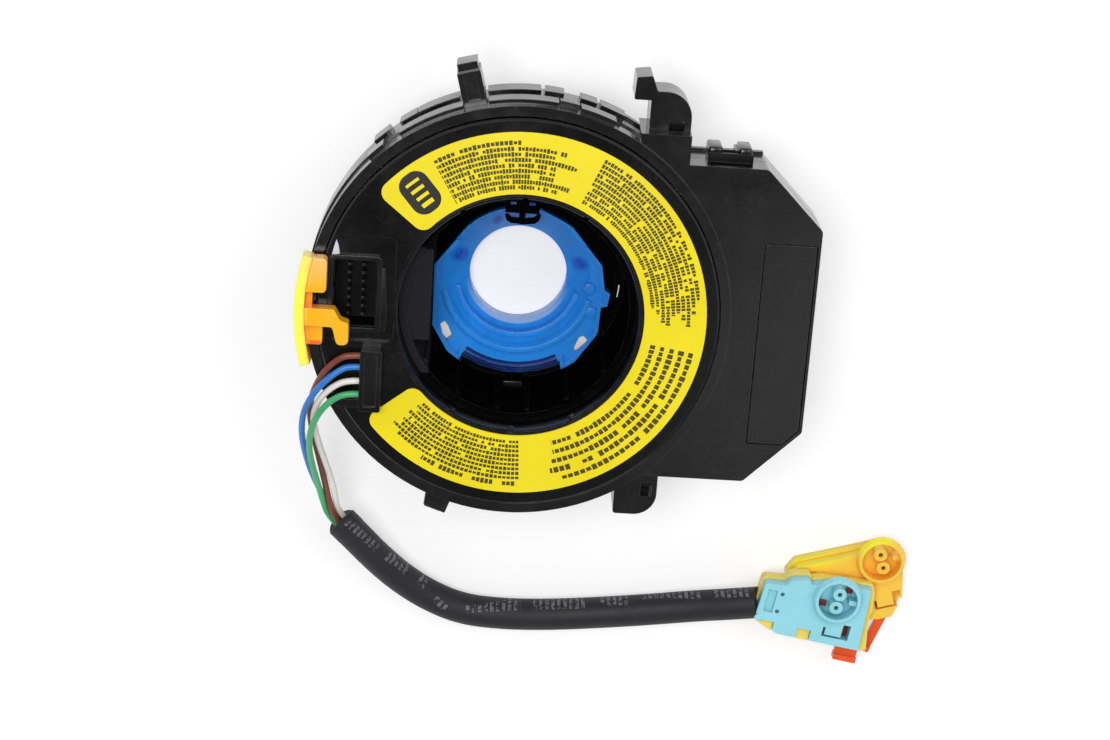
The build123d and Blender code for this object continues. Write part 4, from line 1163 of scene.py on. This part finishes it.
@dataclass
class Rotor(SubAssembly):
    """The turning half: disc, label, switch socket, sleeve and cam. Lengths in millimetres, angles in degrees."""

    windows: tuple[tuple[float, Outline], ...] = (
        (-140.0, ((-20.52, -13.34), (-18.93, -12.61), (-17.07, -17.01), (-17.9, -19.23), (-19.46, -17.34))),
        (-44.5, ((17.55, -15.52), (19.65, -14.66), (19.71, -16.83), (16.98, -19.82), (16.23, -18.87))))
    dimple_radius: float = 16.75
    dimple_height: float = 7.55
    cup_slope: float = 45.4
    frame_x: Pair = (-48.9, -35.2)
    frame_y: Pair = (-6.6, 13.7)
    frame_z: Pair = (43.25, 44.45)
    frame_wall: float = 1.15
    step_outline: Outline = (
        (-36.1, 10.9), (-34.4, 10.8), (-33.5, 0.5), (-33.8, -6.2), (-36.1, -6.2))
    # outline of the facet that carries the painted glint
    glint_facet_outline: Outline = (
        (-47.21, 17.64), (-46.57, 15.94), (-46.19, 13.91), (-47.42, 13.62), (-48.47, 12.5), (-47.88, 15.2))
    anchor_outline: Outline = (
        (0.8, 24.8), (-0.8, 24.8), (-0.8, 17.5), (-2.9, 17.6), (-3.8, 18.5), (-4.7, 18.3), (-4.2, 16.9), (-3.0, 16.2),
        (0.3, 15.9), (3.4, 16.3), (4.5, 17.1), (5.0, 18.6), (4.1, 18.8), (3.1, 17.8), (0.8, 17.5))
    slit_fills: tuple[tuple[Pair, Pair], ...] = (
        ((26.3, 27.3), (-11.0, 5.0)), ((27.2, 28.0), (-1.6, 5.0)))
    terraces: tuple[tuple[Pair, Pair], ...] = (
        ((15.9, 17.3), (6.2, 8.12)), ((19.4, 20.9), (9.6, 11.0)))
    bosses: Outline = ((19.5, -1.6), (20.4, -8.3))
    window_plate: tuple[Pair, Pair, Pair] = ((22.7, 26.6), (-2.8, 2.8), (9.7, 10.56))
    window_z: Pair = (9.0, 11.4)
    web: tuple[Pair, Pair, Pair] = ((-3.4, 3.6), (19.6, 21.4), (8.0, 10.2))
    tab_face: tuple[Pair, Pair, Pair] = ((-2.4, 2.6), (-29.0, -27.4), (15.9, 16.12))
    hook_gaps: tuple[Pair, ...] = ((-5.4, -0.85), (0.85, 5.4))
    hook_gap_y: Pair = (17.8, 24.4)
    hook_gap_z: Pair = (10.62, 13.6)
    anchor_z: Pair = (11.5, 13.1)
    slit_z: Pair = (6.9, 8.02)
    slit_steps: int = 8
    terrace_angles: Pair = (-168.0, -14.0)
    terrace_steps: int = 64
    boss_z: float = 9.6
    boss_size: Pair = (1.7, 2.9)
    dimple_angles: Pair = (15.2, 161.5)
    dimple_size: Pair = (1.35, 0.5)
    frame_corner: float = 1.1
    frame_corner_segments: int = 5
    step_z: Pair = (43.9, 44.38)
    glint_facet_z: Pair = (43.2, 44.3)

    def build(self) -> None:
        """Builds and dresses the turning half."""
        self.smooth_copy("rotor_disc", "rotor", ROTOR)
        self.smooth_copy("label", "label", LABEL)
        self.smooth_copy("switch_socket", "socket", WELL)
        # pins set deep in the socket, in painted shade
        self.dress_node("switch_pins", SHADED_PINS)
        self.smooth_copy("wire_holder", "socket", SOCKET)
        self.sleeve()
        self.smooth_copy("cancel_cam", "cam", BLUE_CAM)
        self.cam_windows()
        # the web is the cam's blue in painted shade
        self.cam_detail(self.block(*self.web), "web", rounding=0.3, finish=SHADED_CAM_BLUE)
        self.finish_piece(self.block(*self.tab_face), "sleeve_tab_face", HOUSING, "hub_sleeve", "sleeve", rounding=0.08)
        self.cam_steps()
        self.cam_dimples()
        self.socket_frame()

    def sleeve(self) -> None:
        """The sleeve with its hook bar opened, the hook's anchor and the edges of the slits."""
        sleeve = self.smooth_copy("hub_sleeve", "sleeve", SLEEVE)
        self.carve(sleeve, [self.block(ends, self.hook_gap_y, self.hook_gap_z) for ends in self.hook_gaps])
        anchor = self.plate(self.anchor_outline, self.anchor_z)
        self.finish_piece(anchor, "hook_anchor", SLEEVE, "hub_sleeve", "sleeve", rounding=0.2)
        for number, (radii, angles) in enumerate(self.slit_fills):
            fill = self.swept(radii, self.slit_z, angles, self.slit_steps)
            self.finish_piece(fill, f"slit_edge_{number}", SLEEVE, "hub_sleeve", "sleeve")

    def cam_detail(self, piece: Piece, name: str, rounding: float, finish: Finish = BLUE_CAM) -> None:
        """Dresses a small piece of the cam."""
        self.finish_piece(piece, f"cam_{name}", finish, "cancel_cam", "cam", rounding)

    def cam_windows(self) -> None:
        """Leaning openings in the two windows of the flange."""
        for number, (angle, opening) in enumerate(self.windows):
            surround = self.block(*self.window_plate)
            surround.data.transform(placed(0.0, 0.0, angle=angle))
            self.carve(surround, [self.plate(opening, self.window_z)])
            self.cam_detail(surround, f"window_{number}", rounding=0.08)

    def cam_steps(self) -> None:
        """Terraces round the cup and bosses on the flange."""
        for number, (radii, heights) in enumerate(self.terraces):
            step = self.swept(radii, heights, self.terrace_angles, self.terrace_steps)
            self.cam_detail(step, f"step_{number}", rounding=0.12)
        for number, (across, along) in enumerate(self.bosses):
            boss = self.round_bar(placed(across, along, self.boss_z), *self.boss_size)
            self.cam_detail(boss, f"boss_{number}", rounding=0.3)

    def cam_dimples(self) -> None:
        """Shallow caps in the slope of the cup."""
        lean = Matrix.Rotation(math.radians(-self.cup_slope), 4, "Y")
        for number, angle in enumerate(self.dimple_angles):
            seat = placed(0.0, 0.0, angle=angle) @ placed(self.dimple_radius, 0.0, self.dimple_height) @ lean
            self.cam_detail(self.round_bar(seat, *self.dimple_size), f"dimple_{number}", rounding=0.18)

    def socket_frame(self) -> None:
        """The raised frame round the switch socket, its step and, at its corner, a facet coloured pale as a painted
        glint.
        """
        (left, right), (low, high) = self.frame_x, self.frame_y
        piece = primitive(bpy.ops.mesh.primitive_plane_add, size=1.0)
        for vertex in piece.data.vertices:
            across = right if vertex.co.x > 0 else left
            along = high if vertex.co.y > 0 else low
            vertex.co = Vector((across, along, self.frame_z[0])) * MM
        with editing(piece):
            bpy.ops.mesh.bevel(
                offset=self.frame_corner * MM, segments=self.frame_corner_segments, affect="VERTICES")
            bpy.ops.mesh.select_all(action="SELECT")
            bpy.ops.mesh.inset(thickness=self.frame_wall * MM)
            bpy.ops.mesh.delete(type="FACE")
            bpy.ops.mesh.select_all(action="SELECT")
            self.raise_all(self.frame_z)
        self.finish_piece(piece, "socket_frame", SOCKET, "switch_socket", "socket", rounding=0.22)
        step = self.plate(self.step_outline, self.step_z)
        self.finish_piece(step, "socket_step", SOCKET, "switch_socket", "socket", rounding=0.15)
        # a facet at the frame's corner, coloured pale as a painted glint
        facet = self.plate(self.glint_facet_outline, self.glint_facet_z)
        self.finish_piece(facet, "socket_facet", GLINT_FACET, "rotor_disc", "socket", rounding=0.1)


@dataclass
class TransportClip(SubAssembly):
    """The yellow clip that holds the rotor for transport."""

    def build(self) -> None:
        """Builds and dresses the clip."""
        self.smooth_copy("transport_lock", "lock", CLIP)


@dataclass
class Plug(SubAssembly):
    """A harness plug: base, cover, contacts and lock. Lengths in millimetres, in the plug's own frame."""

    letter: str = "a"
    cover: tuple[str, Finish] = ("teal", TEAL)
    base: tuple[str, Finish] = ("cream", CREAM)
    place: Pair = (73.2, -90.3)
    angle: float = -9.5
    seals: tuple[tuple[Point, Point], ...] = ()
    nose: Outline = ()
    nose_z: Pair = (7.9, 11.1)
    nose_cut: Outline = ((30.1, 11.9), (36.0, 12.2), (36.0, -8.6), (31.65, -8.6))
    nose_cut_z: Pair = (11.0, 16.5)

    def build(self) -> list[Piece]:
        """Builds and dresses the plug.

        Returns:
            Its pieces.
        """
        name = f"connector_{self.letter}"
        seat = placed(*self.place, angle=self.angle)
        cover = self.smooth_copy(f"{name}_cover", *self.cover)
        self.smooth_copy(f"{name}_base", *self.base)
        self.smooth_copy(f"{name}_lock", "red", RED)
        self.dress_node(f"{name}_contacts", PINS)
        if self.nose:
            cutter = self.plate(self.nose_cut, self.nose_cut_z)
            cutter.data.transform(seat)
            self.carve(cover, [cutter])
            nose = self.plate(self.nose, self.nose_z)
            nose.data.transform(seat)
            self.finish_piece(nose, f"{name}_nose", self.base[1], f"{name}_base", self.base[0], rounding=0.3)
        for number, (middle, size) in enumerate(self.seals):
            seal = self.slab(seat @ placed(*middle), size)
            self.finish_piece(seal, f"{name}_seal_{number}", SEAL, f"{name}_base", "red", rounding=0.12)
        return self.pieces


PLUG_A_NOSE = (
    (29.5, 10.9), (31.5, 11.1), (32.3, 9.0), (33.2, 3.2), (32.7, 2.6), (33.4, -2.6), (34.5, -8.3), (32.4, -8.8),
    (29.5, -7.9))
PLUG_A_SEALS = (
    ((26.5, -3.0, 11.15), (2.0, 4.2, 0.6)),
    ((24.6, 9.4, 12.1), (1.9, 2.0, 0.9)),
    ((18.2, 3.9, 12.1), (2.0, 1.7, 0.9)),
)


class FarEnd(Enum):
    """What a cord ends in."""

    PLUG = "connector"
    OBJECT = "object"


@dataclass(frozen=True)
class Cord:
    """A cord: its size and route in millimetres."""

    node: str
    slot: str
    finish: Finish
    diameter: float
    length: float
    far_end: FarEnd
    route: tuple[Point, ...]


TUBE_CORD = Cord(
    "sleeve_tube", "tube", TUBE, 9.0, 132.2, FarEnd.PLUG,
    ((-44.3, -72.1, 15.0), (-40.1, -77.4, 12.5), (-34.7, -84.2, 9.5), (-28.0, -91.0, 7.0),
     (-19.8, -96.9, 5.3), (-9.9, -101.0, 4.7), (2.4, -101.8, 4.7), (15.3, -101.2, 4.7),
     (29.6, -99.7, 4.7), (43.8, -97.9, 4.7), (56.6, -95.6, 5.6), (65.6, -93.2, 8.6),
     (73.6, -91.2, 10.6)),
)
WIRE_DIAMETER = 1.7
WIRE_CORDS = tuple(
    Cord(f"wire_{name}", f"wire_{name}", finish, WIRE_DIAMETER, length, FarEnd.OBJECT, route)
    for name, finish, length, route in (
        ("brown", BROWN, 76.0,
         ((-39.8, -12.2, 46.9), (-42.9, -12.2, 46.9), (-45.4, -13.4, 46.7), (-48.2, -16.2, 46.0),
          (-50.8, -20.8, 44.7), (-52.6, -26.8, 41.2), (-52.9, -33.8, 36.4), (-52.0, -41.4, 31.0),
          (-50.7, -49.6, 25.6), (-49.2, -58.0, 21.4), (-47.9, -64.6, 19.6), (-46.31, -69.57, 17.80),
          (-43.98, -72.51, 16.41))),
        ("blue", BLUE, 75.8,
         ((-39.8, -15.2, 46.9), (-42.8, -15.2, 46.9), (-45.4, -16.6, 47.1), (-48.6, -19.4, 47.2),
          (-51.8, -23.8, 46.0), (-54.3, -30.0, 42.0), (-55.1, -37.4, 36.6), (-54.5, -45.2, 30.6),
          (-52.9, -53.6, 24.6), (-50.3, -61.6, 19.4), (-47.53, -68.02, 15.32), (-44.62, -71.69, 13.59))),
        ("white", WHITE, 69.4,
         ((-39.8, -19.0, 46.9), (-42.9, -19.0, 46.9), (-46.6, -20.9, 46.8), (-50.2, -25.2, 45.2),
          (-51.9, -31.4, 41.4), (-51.2, -38.4, 36.0), (-49.8, -45.6, 30.6), (-47.9, -53.4, 25.2),
          (-46.5, -61.2, 20.6), (-46.03, -67.50, 16.73), (-43.12, -71.17, 15.00))),
        ("green", GREEN, 68.3,
         ((-39.8, -22.6, 46.9), (-43.0, -22.6, 46.9), (-46.8, -24.6, 46.8), (-50.2, -29.0, 45.6),
          (-52.4, -35.4, 41.6), (-53.0, -42.8, 35.6), (-52.2, -50.4, 29.4), (-50.9, -57.6, 24.0),
          (-49.7, -64.2, 19.6), (-48.39, -69.36, 16.73), (-45.48, -73.03, 15.00))),
    ))


@dataclass
class Harness(SubAssembly):
    """Four wires and the soft tube that gathers them. Lengths in millimetres."""

    round_steps: int = 8
    spline_steps: int = 14
    mouth_length: float = 4.5
    mouth_overlap: float = 3.7
    mouth_wall: float = 0.6
    mouth_edge: Point = (0.05, 0.386, 0.921)
    mouth_sides: int = 48
    mouth_cuts: int = 2
    mouth_lap: float = 0.06
    mouth_rounding: float = 0.16

    def lay(self, cord: Cord, ends_with: list[Piece]) -> None:
        """Lays one cord along its route.

        Args:
            cord: its size, route and finish.
            ends_with: the plug pieces on its far end; not used.
        """
        curve = bpy.data.curves.new(f"{cord.node}_run", "CURVE")
        curve.dimensions = "3D"
        curve.resolution_u = self.spline_steps
        curve.render_resolution_u = self.spline_steps
        curve.bevel_depth = cord.diameter * MM / 2
        curve.bevel_resolution = self.round_steps
        curve.use_fill_caps = True
        spline = curve.splines.new("NURBS")
        spline.points.add(len(cord.route) - 1)
        for point, place in zip(spline.points, cord.route):
            point.co = (*metres(place), 1.0)
        spline.order_u = 3
        spline.use_endpoint_u = True
        spline.use_smooth = True
        piece = bpy.data.objects.new(f"{cord.node}_run", curve)
        bpy.context.scene.collection.objects.link(piece)
        wear_finish(piece, cord.finish.material(self.effects))
        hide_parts(cord.node)
        self.keep(piece, BODY_OF[cord.node], cord.slot)
        metres(cord.route[0])
        cord.diameter * MM

    def cut_mouth(self, cord: Cord) -> Piece:
        """Models the open end that the wires go into, its cut slanted.

        Args:
            cord: the tube whose start is open.

        Returns:
            The mouth piece.
        """
        start, after = (Vector(point) * MM for point in cord.route[:2])
        inward = (after - start).normalized()
        middle = start - inward * (self.mouth_length / 2 - self.mouth_overlap) * MM
        turn = inward.to_track_quat("Z", "Y")
        over = Vector(self.mouth_edge)
        slant = turn.inverted() @ (inward - over * inward.dot(over))
        piece = primitive(
            bpy.ops.mesh.primitive_cylinder_add, vertices=self.mouth_sides,
            radius=(cord.diameter / 2 + self.mouth_lap) * MM, depth=self.mouth_length * MM, end_fill_type="NOTHING")
        piece.name = "tube_mouth"
        for vertex in piece.data.vertices:
            if vertex.co.z < 0.0:
                vertex.co.z -= (slant.x * vertex.co.x + slant.y * vertex.co.y) / slant.z
        with editing(piece):
            bpy.ops.mesh.subdivide(number_cuts=self.mouth_cuts)
        modify(piece, "SOLIDIFY", thickness=self.mouth_wall * MM, offset=-1.0)
        modify(piece, "BEVEL", width=self.mouth_rounding * MM, segments=self.round_segments, limit_method="ANGLE")
        piece.data.transform(Matrix.Translation(middle) @ turn.to_matrix().to_4x4())
        self.smooth(piece)
        wear_finish(piece, cord.finish.material(self.effects))
        self.keep(piece, BODY_OF[cord.node], cord.slot)
        return piece

    def build(self, plugs: list[Piece]) -> None:
        """Lays the wires and the tube.

        Args:
            plugs: the plug pieces on the tube's far end.
        """
        for cord in WIRE_CORDS:
            self.lay(cord, [])
        mouth = self.cut_mouth(TUBE_CORD)
        self.lay(TUBE_CORD, [*plugs, mouth])


@dataclass
class Studio:
    """Camera, floor and soft light. Lengths in metres, angles in degrees."""

    image_width: int = 1110
    image_height: int = 740
    focal_pixels: float = 2340.0
    sensor: float = 36.0
    distance: float = 0.6
    tilt: float = 17.5
    roll: float = 3.5
    aim: Point = (0.0, 0.0, 0.0446)
    aim_pixel: Pair = (518.2, 317.0)
    horizon_strength: float = 1.0
    zenith_strength: float = 0.14
    clip: Pair = (0.01, 20.0)
    floor_size: float = 6.0
    floor_gap: float = 0.0002
    floor_colour: Colour = (0.62, 0.62, 0.62)
    floor_glow: float = 0.46
    lamp_aim: Point = (0.0, -0.02, 0.02)
    lamps: tuple[tuple[str, Point, float, float], ...] = (
        ("key_lamp", (-0.16, 0.22, 0.9), 0.35, 4.2),
        ("fill_lamp", (0.35, 0.3, 0.7), 0.4, 1.4),
        ("sheen_lamp", (0.28, -0.25, 0.75), 0.3, 0.12))

    def camera(self) -> None:
        """Places the camera so that the label's middle falls on its pixel."""
        slope = math.radians(self.tilt)
        look = Vector((0.0, -math.sin(slope), -math.cos(slope)))
        above = Vector((0.0, math.cos(slope), -math.sin(slope)))
        right = look.cross(above)
        shift = self.aim_pixel[0] - self.image_width / 2
        rise = self.image_height / 2 - self.aim_pixel[1]
        ahead = (look * self.focal_pixels - right * shift - above * rise).normalized()
        side = (right - ahead * right.dot(ahead)).normalized()
        top = side.cross(ahead)
        place = Vector(self.aim) - look * self.distance
        turn = Matrix.Rotation(math.radians(self.roll), 3, "Z")
        side, top, ahead, place = (turn @ part for part in (side, top, ahead, place))
        lens = bpy.data.cameras.new("studio_camera")
        lens.sensor_width = self.sensor
        lens.lens = self.focal_pixels / self.image_width * self.sensor
        lens.clip_start, lens.clip_end = self.clip
        body = bpy.data.objects.new("studio_camera", lens)
        axes = Matrix((side, top, -ahead)).transposed().to_4x4()
        body.matrix_world = Matrix.Translation(place) @ axes
        bpy.context.scene.collection.objects.link(body)
        bpy.context.scene.camera = body

    def lamp(self, name: str, place: Point, size: float, power: float) -> None:
        """Hangs one square soft lamp that looks at the object.

        Args:
            name: the lamp's name.
            place: where it hangs.
            size: its side.
            power: its watts.
        """
        light = bpy.data.lights.new(name, "AREA")
        light.size = size
        light.energy = power
        body = bpy.data.objects.new(name, light)
        toward = Vector(self.lamp_aim) - Vector(place)
        body.matrix_world = Matrix.Translation(place) @ toward.to_track_quat("-Z", "Y").to_matrix().to_4x4()
        bpy.context.scene.collection.objects.link(body)

    def floor(self) -> None:
        """Lays a wide pale floor that keeps the shadow and reads white."""
        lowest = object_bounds()[0][2]
        bpy.ops.object.select_all(action="DESELECT")
        bpy.ops.mesh.primitive_plane_add(size=self.floor_size, location=(0.0, 0.0, lowest - self.floor_gap))
        plane = bpy.context.active_object
        plane.name = "floor"
        bpy.ops.object.transform_apply(location=True, rotation=True, scale=True)
        material = bpy.data.materials.new("pale floor")
        material.use_nodes = True
        graph = Graph(material.node_tree)
        path = graph.add("ShaderNodeLightPath")
        seen = graph.union(
            Signal(graph, path.outputs[ray]) for ray in ("Is Camera Ray", "Is Glossy Ray", "Is Transmission Ray"))
        shader = material.node_tree.nodes["Principled BSDF"]
        for label, source in {
            "Base Color": (*self.floor_colour, 1.0), "Roughness": 0.9, "Specular IOR Level": 0.0,
            "Emission Color": (1.0, 1.0, 1.0, 1.0), "Emission Strength": seen * self.floor_glow,
        }.items():
            graph.feed(shader.inputs[label], source)
        plane.data.materials.append(material)
        plane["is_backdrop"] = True

    def world(self) -> None:
        """Lights all round, white where it is seen."""
        scene = bpy.context.scene
        scene.world = bpy.data.worlds.new("studio")
        scene.world.use_nodes = True
        graph = Graph(scene.world.node_tree)
        height = graph.split(graph.value("ShaderNodeTexCoord", "Generated"))[2]
        glow = graph.span(height, 0.0, 1.0, self.horizon_strength, self.zenith_strength)
        shown = graph.value("ShaderNodeLightPath", "Is Camera Ray")
        back = scene.world.node_tree.nodes["Background"]
        graph.feed(back.inputs["Color"], (1.0, 1.0, 1.0, 1.0))
        graph.feed(back.inputs["Strength"], graph.math("MAXIMUM", glow, shown))

    def build(self) -> None:
        """Sets up the studio."""
        self.camera()
        self.floor()
        self.world()
        for lamp in self.lamps:
            self.lamp(*lamp)
        bpy.context.scene.view_settings.view_transform = "Standard"
        LOG.info("studio is set")


def main() -> None:
    """Builds the pieces in order, then the studio."""
    logging.basicConfig(level=logging.INFO, format="%(name)s: %(message)s")
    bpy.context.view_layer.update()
    for spare in ("Cube", "Light", "Camera"):
        if spare in bpy.data.objects:
            bpy.data.objects.remove(bpy.data.objects[spare])
    effects = Effects()
    Housing(effects).build()
    Rotor(effects).build()
    TransportClip(effects).build()
    plug_a = Plug(effects, nose=PLUG_A_NOSE, seals=PLUG_A_SEALS).build()
    plug_b = Plug(effects, letter="b", cover=("amber", AMBER), base=("amber", AMBER)).build()
    Harness(effects).build([*plug_a, *plug_b])
    Studio().build()


if __name__ == "__main__":
    main()
